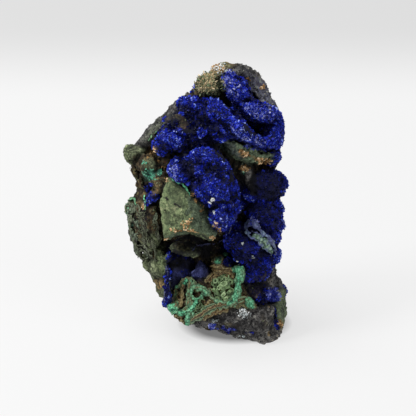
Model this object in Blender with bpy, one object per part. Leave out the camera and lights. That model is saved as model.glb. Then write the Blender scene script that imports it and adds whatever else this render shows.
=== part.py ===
"""An azurite specimen: one lump of grey-green rock, overgrown by knobbly azurite and banded malachite.

The rock is a loft of upright sections. Ellipsoid knobs, chipped stones and malachite ribs grow on it, small
buds and rubble are scattered over those, and one voxel skin joins everything into a single solid. That solid
is thinned to a few thousand facets and cut flat where it stands on the table.

Run it with: blender --background --python part.py
"""

import math
import random
from collections import namedtuple

import bmesh
import bpy
from mathutils import Euler, Matrix, Vector

MM = 0.001
NODE = "azurite_specimen"

# Driving dimensions, in millimetres. The display face leans back, so that it looks forward and up, and the
# shift brings the middle of the finished specimen over the origin.
FACE_LEAN_DEG = 26.0
FACE_MIDDLE_HEIGHT = 44.6
SHIFT_X = 1.2
SHIFT_Y = 2.9

# The skin that joins everything, and what is kept of it.
SKIN_VOXEL = 0.8
SKIN_SMOOTHING = 0.5
GRAIN_SIZE = 3.2
GRAIN_DEPTH = 0.9
TRIANGLES_KEPT = 9400
FLOOR_BLOCK = 120.0

# Upright sections of the rock's body: height, left, right, front (towards the viewer), back.
Section = namedtuple("Section", "height left right front back")
BODY_SECTIONS = (
    Section(-3, -6, 24, -10, 13),
    Section(4, -12, 25, -12, 15),
    Section(12, -16, 25, -12, 16),
    Section(20, -19, 24, -8, 17),
    Section(30, -22, 24, -6, 18),
    Section(40, -24, 24, -7, 17),
    Section(50, -25, 24, -9, 16),
    Section(60, -25, 24, -9, 15),
    Section(69, -23, 24, -7, 14),
    Section(78, -16, 23, -3, 13),
    Section(87, -7, 18, 1, 11),
    Section(93, 0, 14, 3, 10),
    Section(96, 5, 11, 4, 8),
)
SECTION_POINTS = 40
SECTION_SQUARENESS = 2.4

# Knobs are ellipsoids on the display face. Across is to the right, up is up the leaning face, and out is
# towards the viewer, all from the face's middle. Then half sizes the same way, and a turn in the face.
Knob = namedtuple("Knob", "name across up out wide tall deep turn")
AZURITE_KNOBS = (
    Knob("crown_ridge_top", 7.6, 45.6, 18.5, 5.0, 4.2, 6.0, -35),
    Knob("crown_ridge", 12.4, 41.2, 20.5, 7.0, 4.4, 6.0, -43),
    Knob("crown_left", -5.2, 35.8, 18.0, 7.4, 4.0, 6.0, 14),
    Knob("crown_middle", 1.8, 33.4, 20.5, 6.5, 4.6, 6.0, -20),
    Knob("crown_arc", 17.5, 34.2, 18.0, 8.5, 3.6, 7.0, -22),
    Knob("crown_arc_end", 22.8, 26.8, 14.5, 3.4, 6.6, 7.0, -4),
    Knob("hollow_floor", 17.0, 29.0, 12.0, 7.0, 4.0, 7.0, -10),
    Knob("hollow_lip", 9.5, 28.2, 21.0, 8.5, 3.6, 7.0, -38),
    Knob("hollow_lip_end", 18.5, 23.6, 17.0, 7.5, 3.2, 7.0, -12),
    Knob("crown_neck", 4.0, 26.4, 19.5, 5.5, 5.0, 7.0, 0),
    Knob("shoulder_top", -9.0, 30.4, 18.5, 6.6, 4.0, 6.0, 20),
    Knob("shoulder", -10.8, 24.6, 19.0, 8.8, 5.2, 7.0, 12),
    Knob("shoulder_right", -3.6, 25.2, 20.0, 5.2, 5.4, 6.0, -35),
    Knob("shoulder_left", -16.2, 21.6, 17.0, 4.2, 3.6, 5.0, 0),
    Knob("shoulder_bud", -14.4, 30.6, 17.0, 3.0, 2.8, 3.5, 0),
    Knob("brow_top", -1.6, 15.6, 22.5, 8.0, 6.0, 7.5, -15),
    Knob("brow_left", -8.6, 12.0, 22.0, 5.4, 4.2, 6.0, -25),
    Knob("brow_middle", 3.0, 8.4, 23.0, 7.6, 7.8, 7.5, 0),
    Knob("brow_right", 7.6, 3.6, 20.5, 4.2, 9.0, 7.0, 12),
    Knob("brow_tip", 6.4, -3.2, 20.5, 5.0, 5.6, 6.5, 0),
    Knob("right_bulge", 21.2, 8.8, 11.5, 6.0, 5.2, 8.0, 0),
    Knob("right_waist", 20.0, -2.2, 10.0, 6.4, 5.4, 8.0, 0),
    Knob("right_hip", 20.0, -8.6, 8.0, 5.6, 5.4, 8.0, 0),
    Knob("chest", 13.0, -12.6, 9.0, 7.5, 6.6, 8.0, 0),
    Knob("chest_right", 17.6, -17.6, 6.0, 5.4, 5.6, 7.5, 0),
    Knob("chest_low", 15.5, -22.0, 4.0, 5.4, 4.6, 7.0, 0),
    Knob("recess_mound", -3.0, -21.8, 0.0, 5.0, 5.0, 5.0, 0),
    Knob("recess_back", -10.5, -17.5, -1.5, 6.0, 4.5, 6.0, 0),
    Knob("foot_bud", 24.4, -32.0, -2.0, 4.0, 3.4, 6.0, 0),
    Knob("foot_inner", 17.0, -28.6, 0.0, 6.0, 6.0, 6.0, 0),
)
MATRIX_KNOBS = (
    Knob("summit_left", 5.8, 48.0, 14.5, 5.0, 2.8, 5.0, 6),
    Knob("summit_middle", 10.2, 48.0, 14.0, 5.0, 2.9, 6.0, 0),
    Knob("needle_dome", 0.6, 42.0, 17.0, 5.6, 4.4, 6.0, 10),
    Knob("left_slope", -10.6, 33.6, 10.0, 8.6, 2.4, 8.0, 36),
    Knob("left_slope_low", -18.4, 26.4, 9.0, 7.6, 2.6, 8.0, 38),
    Knob("left_knuckle", -27.2, 19.6, 8.0, 3.0, 4.0, 5.0, 0),
    Knob("left_knuckle_neck", -23.4, 20.4, 8.0, 5.4, 3.4, 8.0, 22),
    Knob("teal_bank", -20.4, 14.6, 12.0, 4.6, 5.6, 6.0, 0),
    Knob("teal_bank_low", -17.6, 9.0, 13.0, 4.0, 5.0, 6.0, 0),
    Knob("flank", -21.0, 0.4, 5.0, 5.4, 10.5, 8.0, 0),
    Knob("flank_top", -25.6, 14.4, 4.0, 2.2, 3.4, 5.0, 0),
    Knob("flank_nick", -24.4, 4.7, 3.5, 1.8, 2.4, 5.0, 0),
    Knob("flank_low", -22.0, -11.0, 1.5, 4.5, 6.0, 7.0, 20),
    Knob("skirt", -17.4, -19.6, -5.0, 3.2, 7.0, 8.0, 8),
    Knob("skirt_low", -16.6, -28.0, -8.5, 2.4, 3.4, 6.0, 0),
    Knob("under_ledge", -9.0, -13.6, 8.0, 4.6, 2.8, 6.0, 0),
    Knob("gully", 13.2, 11.0, 12.0, 3.4, 6.0, 5.0, 0),
    Knob("foot_left", -1.0, -39.6, -5.0, 8.0, 3.0, 8.0, -12),
    Knob("foot_middle", 13.0, -40.5, 0.0, 8.0, 3.6, 5.4, 0),
    Knob("foot_right", 22.6, -40.0, -4.0, 4.0, 5.0, 6.0, 0),
)

# Malachite beads and buds, on the same face.
MALACHITE_KNOBS = (
    Knob("bead", 4.2, -17.8, 10.0, 2.5, 2.4, 3.4, 0),
    Knob("bead_neck", 6.2, -20.6, 7.4, 3.4, 2.4, 3.0, 0),
    Knob("small_bead", -0.4, -26.2, 5.6, 2.0, 2.0, 3.4, 0),
    Knob("rosette_heart", 5.8, -28.2, 6.4, 3.2, 3.4, 3.4, 0),
    Knob("mint_patch", -12.2, -36.6, -0.5, 2.8, 2.2, 3.0, -25),
    Knob("arch_end", 14.8, -34.2, 6.6, 1.9, 2.2, 2.2, 0),
    Knob("drip", -7.6, -39.2, 1.0, 1.4, 2.2, 2.4, 0),
)

# Chipped stones are the convex hulls of their corners, which are places on the display face.
Stone = namedtuple("Stone", "name corners")
STONES = (
    Stone(
        "boulder",
        (
            (-17.3, 3.2, 21.5),
            (-15.4, 9.6, 22.0),
            (-6.8, 5.0, 26.4),
            (-8.6, -8.2, 26.0),
            (-15.8, -11.3, 21.6),
            (-17.2, -3.0, 21.0),
            (4.2, -10.4, 20.6),
            (0.6, -3.0, 22.4),
            (2.2, -11.8, 19.4),
            (-14.0, -11.2, 13.0),
            (-8.0, -9.4, 18.0),
            (0.0, -11.6, 12.0),
            (-15.0, 9.0, 10.0),
            (0.0, 6.0, 10.0),
        ),
    ),
    Stone(
        "ledge",
        (
            (2.9, 24.6, 24.2),
            (9.0, 24.4, 24.0),
            (15.2, 20.2, 22.0),
            (23.6, 19.6, 18.4),
            (24.6, 17.0, 17.0),
            (15.0, 15.6, 20.4),
            (8.4, 18.2, 22.8),
            (4.4, 21.2, 23.4),
            (4.0, 22.0, 12.0),
            (22.0, 17.0, 8.0),
            (12.0, 14.0, 10.0),
        ),
    ),
    Stone(
        "crag",
        (
            (9.4, 51.0, 13.0),
            (15.4, 48.8, 13.0),
            (18.8, 45.6, 12.6),
            (21.6, 39.4, 13.0),
            (24.2, 36.2, 11.5),
            (26.4, 30.4, 10.5),
            (22.4, 33.4, 17.8),
            (18.6, 37.4, 19.6),
            (12.8, 44.0, 19.8),
            (9.0, 50.0, 17.0),
            (8.0, 49.0, 4.0),
            (15.0, 46.0, 2.0),
            (20.0, 38.0, 0.0),
            (24.0, 30.0, 0.0),
        ),
    ),
    Stone(
        "curl_bed",
        (
            (-12.4, -27.0, 1.6),
            (-12.0, -36.0, 1.2),
            (-8.0, -41.0, 2.0),
            (0.0, -38.0, 6.2),
            (-6.0, -25.0, 3.0),
            (1.6, -21.6, 7.0),
            (9.0, -20.0, 8.8),
            (12.6, -23.6, 8.4),
            (12.4, -31.0, 8.4),
            (17.0, -35.6, 6.8),
            (3.0, -33.6, 7.6),
            (-10.0, -30.0, -12.0),
            (-4.0, -38.0, -10.0),
            (14.0, -34.0, -8.0),
            (10.0, -22.0, -6.0),
        ),
    ),
    Stone(
        "foot",
        (
            (1.4, -36.0, 4.6),
            (11.5, -35.4, 7.0),
            (19.6, -34.6, 5.6),
            (26.2, -33.4, -0.5),
            (2.0, -43.4, -2.4),
            (6.4, -45.8, -1.4),
            (12.2, -47.9, -1.2),
            (21.2, -48.6, -2.1),
            (24.8, -47.2, -3.5),
            (27.2, -42.2, -5.6),
            (28.0, -37.0, -4.0),
            (13.6, -41.0, 6.6),
            (21.0, -41.0, 4.2),
            (0.0, -44.0, -16.0),
            (25.0, -46.0, -18.0),
            (24.0, -34.0, -12.0),
            (2.0, -34.0, -8.0),
        ),
    ),
)

# Ribs are round rolls that follow a path over the display face.
Rib = namedtuple("Rib", "name radius path")
MALACHITE_RIBS = (
    Rib(
        "rosette_rim",
        1.5,
        (
            (1.6, -22.6, 8.6),
            (4.6, -20.8, 10.4),
            (9.0, -20.8, 10.6),
            (11.8, -23.6, 10.2),
            (11.8, -28.4, 9.8),
            (10.0, -32.4, 9.4),
            (5.8, -33.6, 9.0),
            (1.4, -31.6, 8.4),
            (0.6, -27.0, 8.0),
            (1.6, -22.6, 8.6),
        ),
    ),
    Rib(
        "swoosh",
        1.4,
        (
            (-7.6, -40.2, 3.0),
            (-4.0, -38.4, 6.4),
            (0.4, -35.8, 8.4),
            (6.0, -35.2, 9.4),
        ),
    ),
    Rib(
        "right_arch",
        1.6,
        (
            (7.0, -35.0, 9.2),
            (10.4, -32.8, 10.2),
            (14.0, -32.6, 10.0),
            (16.6, -35.2, 8.4),
        ),
    ),
    Rib(
        "mint_arch",
        1.3,
        (
            (-4.8, -33.4, 5.6),
            (-5.6, -29.6, 6.0),
            (-3.0, -27.4, 6.8),
            (-0.4, -29.6, 7.6),
            (0.4, -33.0, 8.0),
        ),
    ),
    Rib(
        "left_loop",
        1.3,
        (
            (-10.8, -33.0, 2.2),
            (-11.6, -29.2, 2.4),
            (-9.6, -26.0, 3.0),
            (-6.8, -26.2, 4.2),
            (-7.4, -29.4, 5.0),
            (-8.4, -33.4, 5.0),
            (-7.8, -37.6, 4.6),
        ),
    ),
)
FACE_RIBS = (
    Rib(
        "fin_upper",
        1.1,
        (
            (14.6, -4.8, 18.6),
            (17.2, -5.0, 19.0),
            (19.0, -8.2, 18.2),
            (21.8, -11.8, 16.8),
            (23.8, -15.4, 14.6),
            (24.4, -17.6, 12.4),
        ),
    ),
    Rib(
        "fin_lower",
        1.1,
        (
            (14.4, -5.4, 18.4),
            (14.8, -8.6, 18.8),
            (18.2, -11.6, 18.2),
            (21.4, -14.0, 16.6),
            (23.8, -16.8, 13.6),
        ),
    ),
    Rib(
        "left_rim",
        1.7,
        (
            (-28.0, 1.4, 3.0),
            (-27.6, -3.6, 3.4),
            (-26.4, -10.4, 2.4),
            (-25.2, -14.4, 1.4),
            (-22.4, -18.0, -0.6),
            (-20.2, -21.6, -2.4),
            (-19.6, -25.4, -5.0),
        ),
    ),
    Rib(
        "violet_rim",
        1.2,
        (
            (-15.0, -18.6, 3.0),
            (-14.6, -24.0, 2.6),
            (-15.0, -30.0, 0.4),
            (-15.4, -34.4, -2.0),
        ),
    ),
    Rib(
        "flank_vein",
        1.1,
        (
            (-18.6, 8.6, 13.6),
            (-19.6, 4.6, 14.0),
            (-22.0, 1.4, 12.0),
            (-22.6, -2.6, 10.4),
        ),
    ),
)
RIB_SIDES = 4

# Blocks are the broken stone of the back and the sides. They stand upright: their middle x, y and z, their
# half sizes, and their turns about x, y and z in degrees.
Block = namedtuple("Block", "name x y z size_x size_y size_z turn_x turn_y turn_z")
BLOCKS = (
    Block("back_peak", 8, 6, 85, 7, 6, 8, -10, 15, 20),
    Block("back_crest", 14, 8, 74, 8, 7, 10, 8, -20, -15),
    Block("back_slope", -4, 7, 71, 11, 7, 8, -14, -32, 12),
    Block("back_left_high", -15, 7, 60, 9, 8, 10, 10, 38, 30),
    Block("back_middle_high", 2, 10, 60, 11, 8, 10, 12, 18, -8),
    Block("back_right_high", 16, 9, 57, 9, 10, 10, -8, -12, -28),
    Block("back_left", -15, 9, 44, 10, 9, 11, -12, -16, 24),
    Block("back_middle", 2, 12, 43, 12, 8, 11, 10, -28, 10),
    Block("back_right", 15, 10, 40, 10, 9, 11, 14, 20, -20),
    Block("back_left_low", -9, 11, 26, 11, 9, 11, 12, 12, 18),
    Block("back_right_low", 10, 13, 24, 12, 8, 11, -14, 32, -10),
    Block("back_heel_left", -4, 10, 9, 10, 9, 12, -8, -14, 22),
    Block("back_heel_right", 14, 10, 8, 10, 9, 12, 6, 10, -24),
    Block("left_high", -21, 3, 50, 5, 10, 10, 18, 10, 6),
    Block("left_low", -17, 4, 28, 6, 10, 10, -16, -12, 12),
    Block("left_heel", -11, 3, 12, 6, 9, 9, 12, -24, 20),
    Block("right_top", 18, 3, 68, 6, 8, 10, 20, -8, -6),
    Block("right_high", 20, -2, 52, 6, 11, 10, -18, 6, 8),
    Block("right_middle", 20, 0, 36, 6, 13, 10, 14, -6, -6),
    Block("right_low", 20, -3, 20, 6, 13, 11, -12, 8, 4),
)

# Growths: azurite carries round buds, and the rock's face small angular chips. Half sizes are in millimetres.
# A growth's middle is sunk to a share of its carrier's size, and spacing is the surface, in square
# millimetres, that one growth takes.
Growth = namedtuple("Growth", "least most sunk spacing seed")
BUDS = Growth(1.2, 2.1, 0.93, 18.0, 7)
CHIPS = Growth(1.6, 3.0, 0.85, 30.0, 21)

# Broken stones: how many corners one has, how square it is, and how many different ones there are.
ROUGH_CORNERS = 22
CUBE_SQUARENESS = 3.0
ROUGH_VARIANTS = 6

STONE_COLOUR = (0.035, 0.05, 0.11, 1.0)
STONE_ROUGHNESS = 0.6


def place(across, up, out):
    """A point of the leaning display face, in metres, +Z up."""
    lean = math.radians(FACE_LEAN_DEG)
    depth = up * math.sin(lean) - out * math.cos(lean)
    height = FACE_MIDDLE_HEIGHT + up * math.cos(lean) + out * math.sin(lean)
    return Vector((across + SHIFT_X, depth + SHIFT_Y, height)) * MM


def face_axes():
    """The display face's own axes (across, up, out) as the columns of a matrix."""
    lean = math.radians(FACE_LEAN_DEG)
    return Matrix(
        (
            (1, 0, 0),
            (0, math.sin(lean), -math.cos(lean)),
            (0, math.cos(lean), math.sin(lean)),
        )
    )


def knob_matrix(knob):
    """Carries the unit sphere to a knob."""
    sizes = Matrix.Diagonal(Vector((knob.wide, knob.tall, knob.deep)) * MM)
    turn = Euler((0, 0, math.radians(knob.turn))).to_matrix()
    where = Matrix.Translation(place(knob.across, knob.up, knob.out))
    return where @ (face_axes() @ turn @ sizes).to_4x4()


def block_matrix(block):
    """Carries a cube, two units wide, to a block of the back or a side."""
    sizes = Matrix.Diagonal(Vector((block.size_x, block.size_y, block.size_z)) * MM)
    turns = (block.turn_x, block.turn_y, block.turn_z)
    turn = Euler([math.radians(angle) for angle in turns]).to_matrix()
    middle = Vector((block.x + SHIFT_X, block.y + SHIFT_Y, block.z)) * MM
    return Matrix.Translation(middle) @ (turn @ sizes).to_4x4()


def add_body(bm):
    """The rock's body, lofted through its sections with bridged loops and closed at both ends."""
    loops = []
    for section in BODY_SECTIONS:
        middle_x = (section.left + section.right) / 2 + SHIFT_X
        middle_y = (section.front + section.back) / 2 + SHIFT_Y
        half_x = (section.right - section.left) / 2
        half_y = (section.back - section.front) / 2
        corner = 2 / SECTION_SQUARENESS
        ring = []
        for i in range(SECTION_POINTS):
            angle = 2 * math.pi * i / SECTION_POINTS
            c, s = math.cos(angle), math.sin(angle)
            x = middle_x + half_x * math.copysign(abs(c) ** corner, c)
            y = middle_y + half_y * math.copysign(abs(s) ** corner, s)
            ring.append(bm.verts.new(Vector((x, y, section.height)) * MM))
        edges = [bm.edges.new((ring[i - 1], ring[i])) for i in range(SECTION_POINTS)]
        loops.append(edges)
    for lower, upper in zip(loops, loops[1:]):
        bmesh.ops.bridge_loops(bm, edges=lower + upper)
    bmesh.ops.holes_fill(bm, edges=loops[0] + loops[-1])


def make_pattern(name, operator, **settings):
    """A small mesh that is copied many times, made by one bmesh operator."""
    bm = bmesh.new()
    operator(bm, **settings)
    pattern = bpy.data.meshes.new(name)
    bm.to_mesh(pattern)
    bm.free()
    return pattern


def make_rough_stone(seed):
    """A broken stone, two units wide: the convex hull of scattered corners on a rounded cube."""
    dice = random.Random(seed)
    bm = bmesh.new()
    corners = []
    for _ in range(ROUGH_CORNERS):
        corner = Vector([dice.gauss(0, 1) for _ in range(3)])
        reach = sum(abs(side) ** CUBE_SQUARENESS for side in corner) ** (1 / CUBE_SQUARENESS)
        corners.append(bm.verts.new(corner / reach))
    hull_over(bm, corners)
    pattern = bpy.data.meshes.new("rough_stone")
    bm.to_mesh(pattern)
    bm.free()
    return pattern


def hull_over(bm, corners):
    """Closes a convex hull over corners, and drops those that end up inside it."""
    hull = bmesh.ops.convex_hull(bm, input=corners)
    unused = [item for item in hull["geom_interior"] if isinstance(item, bmesh.types.BMVert)]
    bmesh.ops.delete(bm, geom=unused, context="VERTS")


def add_copies(bm, patterns, matrices):
    """Adds one copy for each matrix, taking the patterns in turn."""
    for number, matrix in enumerate(matrices):
        copy = patterns[number % len(patterns)].copy()
        copy.transform(matrix)
        bm.from_mesh(copy)
        bpy.data.meshes.remove(copy)


def add_stone(bm, stone):
    """A chipped stone: the convex hull of its corners."""
    hull_over(bm, [bm.verts.new(place(*corner)) for corner in stone.corners])


def add_rib(bm, rib):
    """A roll along a path, made as a bevelled curve."""
    curve = bpy.data.curves.new(rib.name, "CURVE")
    curve.dimensions = "3D"
    curve.bevel_depth = rib.radius * MM
    curve.bevel_resolution = RIB_SIDES
    curve.use_fill_caps = True
    spline = curve.splines.new("NURBS")
    spline.points.add(len(rib.path) - 1)
    for point, corner in zip(spline.points, rib.path):
        point.co = (*place(*corner), 1)
    spline.use_endpoint_u = True
    spline.order_u = 3
    carrier = bpy.data.objects.new(rib.name, curve)
    roll = bpy.data.meshes.new_from_object(carrier)
    bm.from_mesh(roll)
    bpy.data.meshes.remove(roll)
    bpy.data.objects.remove(carrier)
    bpy.data.curves.remove(curve)


def scatter(matrices, growth, outward_only):
    """Places on the surfaces of balls, one for each patch of a growth's spacing."""
    dice = random.Random(growth.seed)
    places = []
    for matrix in matrices:
        sizes = sorted(matrix.col[i].to_3d().length / MM for i in range(3))
        area = 4 * math.pi * sizes[1] * (sizes[0] + sizes[2]) / 2
        for _ in range(round(area / growth.spacing)):
            direction = Vector([dice.gauss(0, 1) for _ in range(3)]).normalized()
            if outward_only:
                direction.z = abs(direction.z)
            size = dice.uniform(growth.least, growth.most) * MM
            turn = Euler([dice.uniform(0, math.pi) for _ in range(3)]).to_matrix().to_4x4()
            sunk = matrix @ (direction * growth.sunk)
            places.append(Matrix.Translation(sunk) @ turn @ Matrix.Scale(size, 4))
    return places


def build_specimen():
    """Body, knobs, stones and ribs in one mesh, with one skin over all of them."""
    azurite = [knob_matrix(knob) for knob in AZURITE_KNOBS]
    matrix_rock = [knob_matrix(knob) for knob in MATRIX_KNOBS]
    malachite = [knob_matrix(knob) for knob in MALACHITE_KNOBS]
    blocks = [block_matrix(block) for block in BLOCKS]

    ball = make_pattern("ball", bmesh.ops.create_icosphere, subdivisions=3, radius=1)
    bud = make_pattern("bud", bmesh.ops.create_icosphere, subdivisions=2, radius=1)
    rough = [make_rough_stone(seed) for seed in range(ROUGH_VARIANTS)]

    bm = bmesh.new()
    add_body(bm)
    for stone in STONES:
        add_stone(bm, stone)
    for rib in MALACHITE_RIBS + FACE_RIBS:
        add_rib(bm, rib)
    add_copies(bm, [ball], azurite + matrix_rock + malachite)
    add_copies(bm, rough, blocks)
    add_copies(bm, [bud], scatter(azurite, BUDS, True))
    add_copies(bm, rough, scatter(matrix_rock + blocks, CHIPS, False))
    bmesh.ops.recalc_face_normals(bm, faces=bm.faces)

    mesh = bpy.data.meshes.new(NODE)
    bm.to_mesh(mesh)
    bm.free()
    specimen = bpy.data.objects.new(NODE, mesh)
    bpy.context.scene.collection.objects.link(specimen)
    return specimen


def skin_over(specimen):
    """Joins everything in one skin, gives it a grain and thins it to the triangles that are kept."""
    skin = specimen.modifiers.new("skin", "REMESH")
    skin.mode = "VOXEL"
    skin.voxel_size = SKIN_VOXEL * MM

    smooth = specimen.modifiers.new("smooth", "SMOOTH")
    smooth.factor = SKIN_SMOOTHING
    smooth.iterations = 1

    texture = bpy.data.textures.new("rock_grain", "CLOUDS")
    texture.noise_scale = GRAIN_SIZE * MM
    grain = specimen.modifiers.new("grain", "DISPLACE")
    grain.texture = texture
    grain.texture_coords = "LOCAL"
    grain.strength = GRAIN_DEPTH * MM

    skinned = specimen.evaluated_get(bpy.context.evaluated_depsgraph_get())
    triangles = 2 * len(skinned.data.polygons)
    thin = specimen.modifiers.new("thin", "DECIMATE")
    thin.ratio = TRIANGLES_KEPT / triangles


def cut_floor(specimen):
    """Cuts the specimen flat at the height it stands at."""
    mesh = bpy.data.meshes.new("floor_block")
    bm = bmesh.new()
    size = FLOOR_BLOCK * MM
    bmesh.ops.create_cube(bm, size=size, matrix=Matrix.Translation((0, 0, -size / 2)))
    bm.to_mesh(mesh)
    bm.free()
    block = bpy.data.objects.new("floor_block", mesh)
    block.hide_render = True
    block.display_type = "WIRE"
    bpy.context.scene.collection.objects.link(block)

    cut = specimen.modifiers.new("floor", "BOOLEAN")
    cut.operation = "DIFFERENCE"
    cut.object = block


def dress(specimen):
    """One stone material, dark blue-grey and slightly rough."""
    material = bpy.data.materials.new("azurite_rock")
    material.use_nodes = True
    shader = material.node_tree.nodes["Principled BSDF"]
    shader.inputs["Base Color"].default_value = STONE_COLOUR
    shader.inputs["Roughness"].default_value = STONE_ROUGHNESS
    shader.inputs["Metallic"].default_value = 0.0
    specimen.data.materials.append(material)


def main():
    for obj in list(bpy.data.objects):
        bpy.data.objects.remove(obj)
    specimen = build_specimen()
    skin_over(specimen)
    cut_floor(specimen)
    dress(specimen)


main()
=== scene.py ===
"""Looks of an azurite specimen: blue azurite crust and banded malachite on grey-green rock.

Lengths are in millimetres until a mesh is made. A place on the display face is given as across (to the
right), up (up the leaning face) and out (towards the viewer), from the face's middle.
"""

import logging
import math
import random
from dataclasses import dataclass, field
from enum import Enum
from typing import Protocol, Sequence

import bmesh
import bpy
import numpy as np
from mathutils import Euler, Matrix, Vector


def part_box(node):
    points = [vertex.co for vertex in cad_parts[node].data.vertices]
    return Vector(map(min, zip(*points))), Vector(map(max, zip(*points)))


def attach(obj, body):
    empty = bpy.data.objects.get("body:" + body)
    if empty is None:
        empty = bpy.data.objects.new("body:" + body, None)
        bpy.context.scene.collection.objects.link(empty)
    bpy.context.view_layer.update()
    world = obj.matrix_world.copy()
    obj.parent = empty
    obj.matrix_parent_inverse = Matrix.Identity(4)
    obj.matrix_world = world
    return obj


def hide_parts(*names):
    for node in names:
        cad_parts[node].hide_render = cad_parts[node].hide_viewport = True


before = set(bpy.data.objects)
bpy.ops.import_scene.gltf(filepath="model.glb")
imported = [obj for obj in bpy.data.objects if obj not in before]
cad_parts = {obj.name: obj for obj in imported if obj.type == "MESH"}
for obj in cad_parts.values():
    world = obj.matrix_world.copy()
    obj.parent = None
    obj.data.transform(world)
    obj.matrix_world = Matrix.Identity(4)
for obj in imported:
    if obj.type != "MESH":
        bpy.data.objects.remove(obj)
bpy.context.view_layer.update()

LOG = logging.getLogger("azurite_specimen")
MM = 0.001
NODE = "azurite_specimen"
BODY = "root"

# Lengths that stand in for nothing where something is divided by them.
SMALL = 1e-6
TINY = 1e-9

# The whole numbers that pick out a cube's corners and its neighbours.
CUBE_CORNERS = np.array([(i, j, k) for i in (0, 1) for j in (0, 1) for k in (0, 1)])
CUBE_NEIGHBOURS = np.array([(i, j, k) for i in (-1, 0, 1) for j in (-1, 0, 1) for k in (-1, 0, 1)])

# A grid is read up to this much short of its size, so that the last cell still has a far corner.
GRID_END = 1.001

# Large primes that spread cells over the 32-bit whole numbers, and what stirs them.
HASH_PRIMES = (73856093, 19349663, 83492791)
HASH_MIXERS = ((2654435761, 13), (1274126177, 16))
HASH_SEEDS = (7919, 17)
HASH_GREATEST = 4294967295.0

# Sine waves that bend the shapes, for a shift along x, y and z: height, the lengths along each axis over
# which the wave turns by one radian, and its start.
INF = math.inf
WAVES = (
    ((0.5, (INF, 2.9, INF), 1.3), (0.5, (INF, INF, 3.3), 0.0), (0.25, (INF, 1.9, 1.4), 0.0)),
    ((0.5, (INF, INF, 3.1), 0.7), (0.5, (2.7, INF, INF), 0.0), (0.25, (1.5, INF, 1.3), 0.0)),
    ((0.5, (3.3, INF, INF), 2.1), (0.5, (INF, 3.5, INF), 0.0), (0.25, (1.8, 1.4, INF), 0.0)),
)

# The front of the rock is read in small squares of the view, where a point is seen if it is near enough to
# the nearest one in its square. A square with no rock has a depth far behind.
VISIBLE_SQUARE = 0.8
VISIBLE_DEPTH = 2.2
VISIBLE_BLUR = 2
NO_ROCK = -1e3

# How far the rims of patches wander off their ovals and over what lengths, and the seeds across and up.
RIM_WANDER = ((0.8, 2.1), (0.4, 0.9))
RIM_SEEDS = (71, 81)


class Mineral(Enum):
    """What the specimen is made of, by look."""

    GRANULAR = "granular"
    BROWN = "brown"
    SAGE = "sage"
    OLIVE = "olive"
    MALACHITE = "malachite"
    TAN = "tan"
    TEAL = "teal"
    PALE = "pale"
    WHITE = "white"
    SLATE = "slate"
    # Indigo stands for the azurite of the recess, painted dim as in shade.
    INDIGO = "indigo"
    # Black is no mineral: near-black paint, painted shade where it lies in hollows and under overhangs.
    BLACK = "black"
    AZURITE = "azurite"


# ---- Places and noise


@dataclass(frozen=True)
class DisplayFace:
    """The leaning face that the knobs, stones and curls are placed on."""

    lean_deg: float = 26.0
    middle_height: float = 44.6
    shift_x: float = 1.2
    shift_y: float = 2.9
    viewing_distance: float = 800.0

    def axes(self) -> np.ndarray:
        """The across, up and out directions as the columns of a matrix."""
        lean = math.radians(self.lean_deg)
        c, s = math.cos(lean), math.sin(lean)
        return np.array([[1, 0, 0], [0, s, -c], [0, c, s]])

    def middle(self) -> np.ndarray:
        """The face's middle in the part's frame."""
        return np.array([self.shift_x, self.shift_y, self.middle_height])

    def place(self, spots: Sequence[float] | np.ndarray) -> np.ndarray:
        """Turns face places into the part's frame: the middle plus each coordinate along its axis.

        Args:
            spots: one place or an array of places, across, up and out in the last axis.

        Returns:
            The same places as x, y and z.
        """
        return np.asarray(spots, float) @ self.axes().T + self.middle()

    def seen(self, points: np.ndarray) -> np.ndarray:
        """Where points appear to a viewer straight in front: face coordinates, spread by their nearness.

        Args:
            points: x, y and z of each point.

        Returns:
            Across, up and out, with across and up as they look at the face's middle depth.
        """
        local = (points - self.middle()) @ self.axes()
        local[:, :2] *= (self.viewing_distance / (self.viewing_distance - local[:, 2]))[:, None]
        return local

    def placed_as_seen(self, spots: np.ndarray) -> np.ndarray:
        """Turns what a viewer sees, across, up and out, back into places in the part's frame."""
        local = np.array(spots, float)
        local[:, :2] *= ((self.viewing_distance - local[:, 2]) / self.viewing_distance)[:, None]
        return self.place(local)


FACE = DisplayFace()


def hashed(cells: np.ndarray, seed: int) -> np.ndarray:
    """A random number from 0 to 1 for each whole-number cell: products with large primes, mixed by shifts.

    Args:
        cells: whole-number cells, x, y and z in the last axis.
        seed: which set of random numbers.

    Returns:
        One number for each cell.
    """
    x, y, z = (cells[..., i].astype(np.uint32) * np.uint32(prime) for i, prime in enumerate(HASH_PRIMES))
    step, start = HASH_SEEDS
    mixed = x ^ y ^ z ^ np.uint32(seed * step + start)
    for mixer, shift in HASH_MIXERS:
        mixed = mixed * np.uint32(mixer)
        mixed ^= mixed >> np.uint32(shift)
    return mixed.astype(np.float32) / np.float32(HASH_GREATEST)


def soft_noise(points: np.ndarray, size: float, seed: int) -> np.ndarray:
    """Smooth noise from -1 to 1: random values at the corners of cubes, blended by a smoothstep.

    Args:
        points: x, y and z of each point.
        size: a cube's side.
        seed: which noise.

    Returns:
        One number for each point.
    """
    scaled = points / size
    cell = np.floor(scaled)
    part = scaled - cell
    part = part * part * (3 - 2 * part)
    cell = cell.astype(np.int64)
    total = np.zeros(len(points))
    for corner in CUBE_CORNERS:
        weight = np.where(corner, part, 1 - part).prod(axis=-1)
        total += weight * hashed(cell + corner, seed)
    return 2 * total - 1


def layered_noise(points: np.ndarray, size: float, layers: int, seed: int) -> np.ndarray:
    """Soft noise summed over layers, each half the size and half the height of the one before.

    Args:
        points: x, y and z of each point.
        size: the first layer's cube side.
        layers: how many layers.
        seed: which noise.

    Returns:
        One number for each point, about -1 to 1.
    """
    total = np.zeros(len(points))
    for layer in range(layers):
        total += soft_noise(points, size / 2**layer, seed + layer) / 2**layer
    return total / (2 - 2.0 ** (1 - layers))


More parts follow.
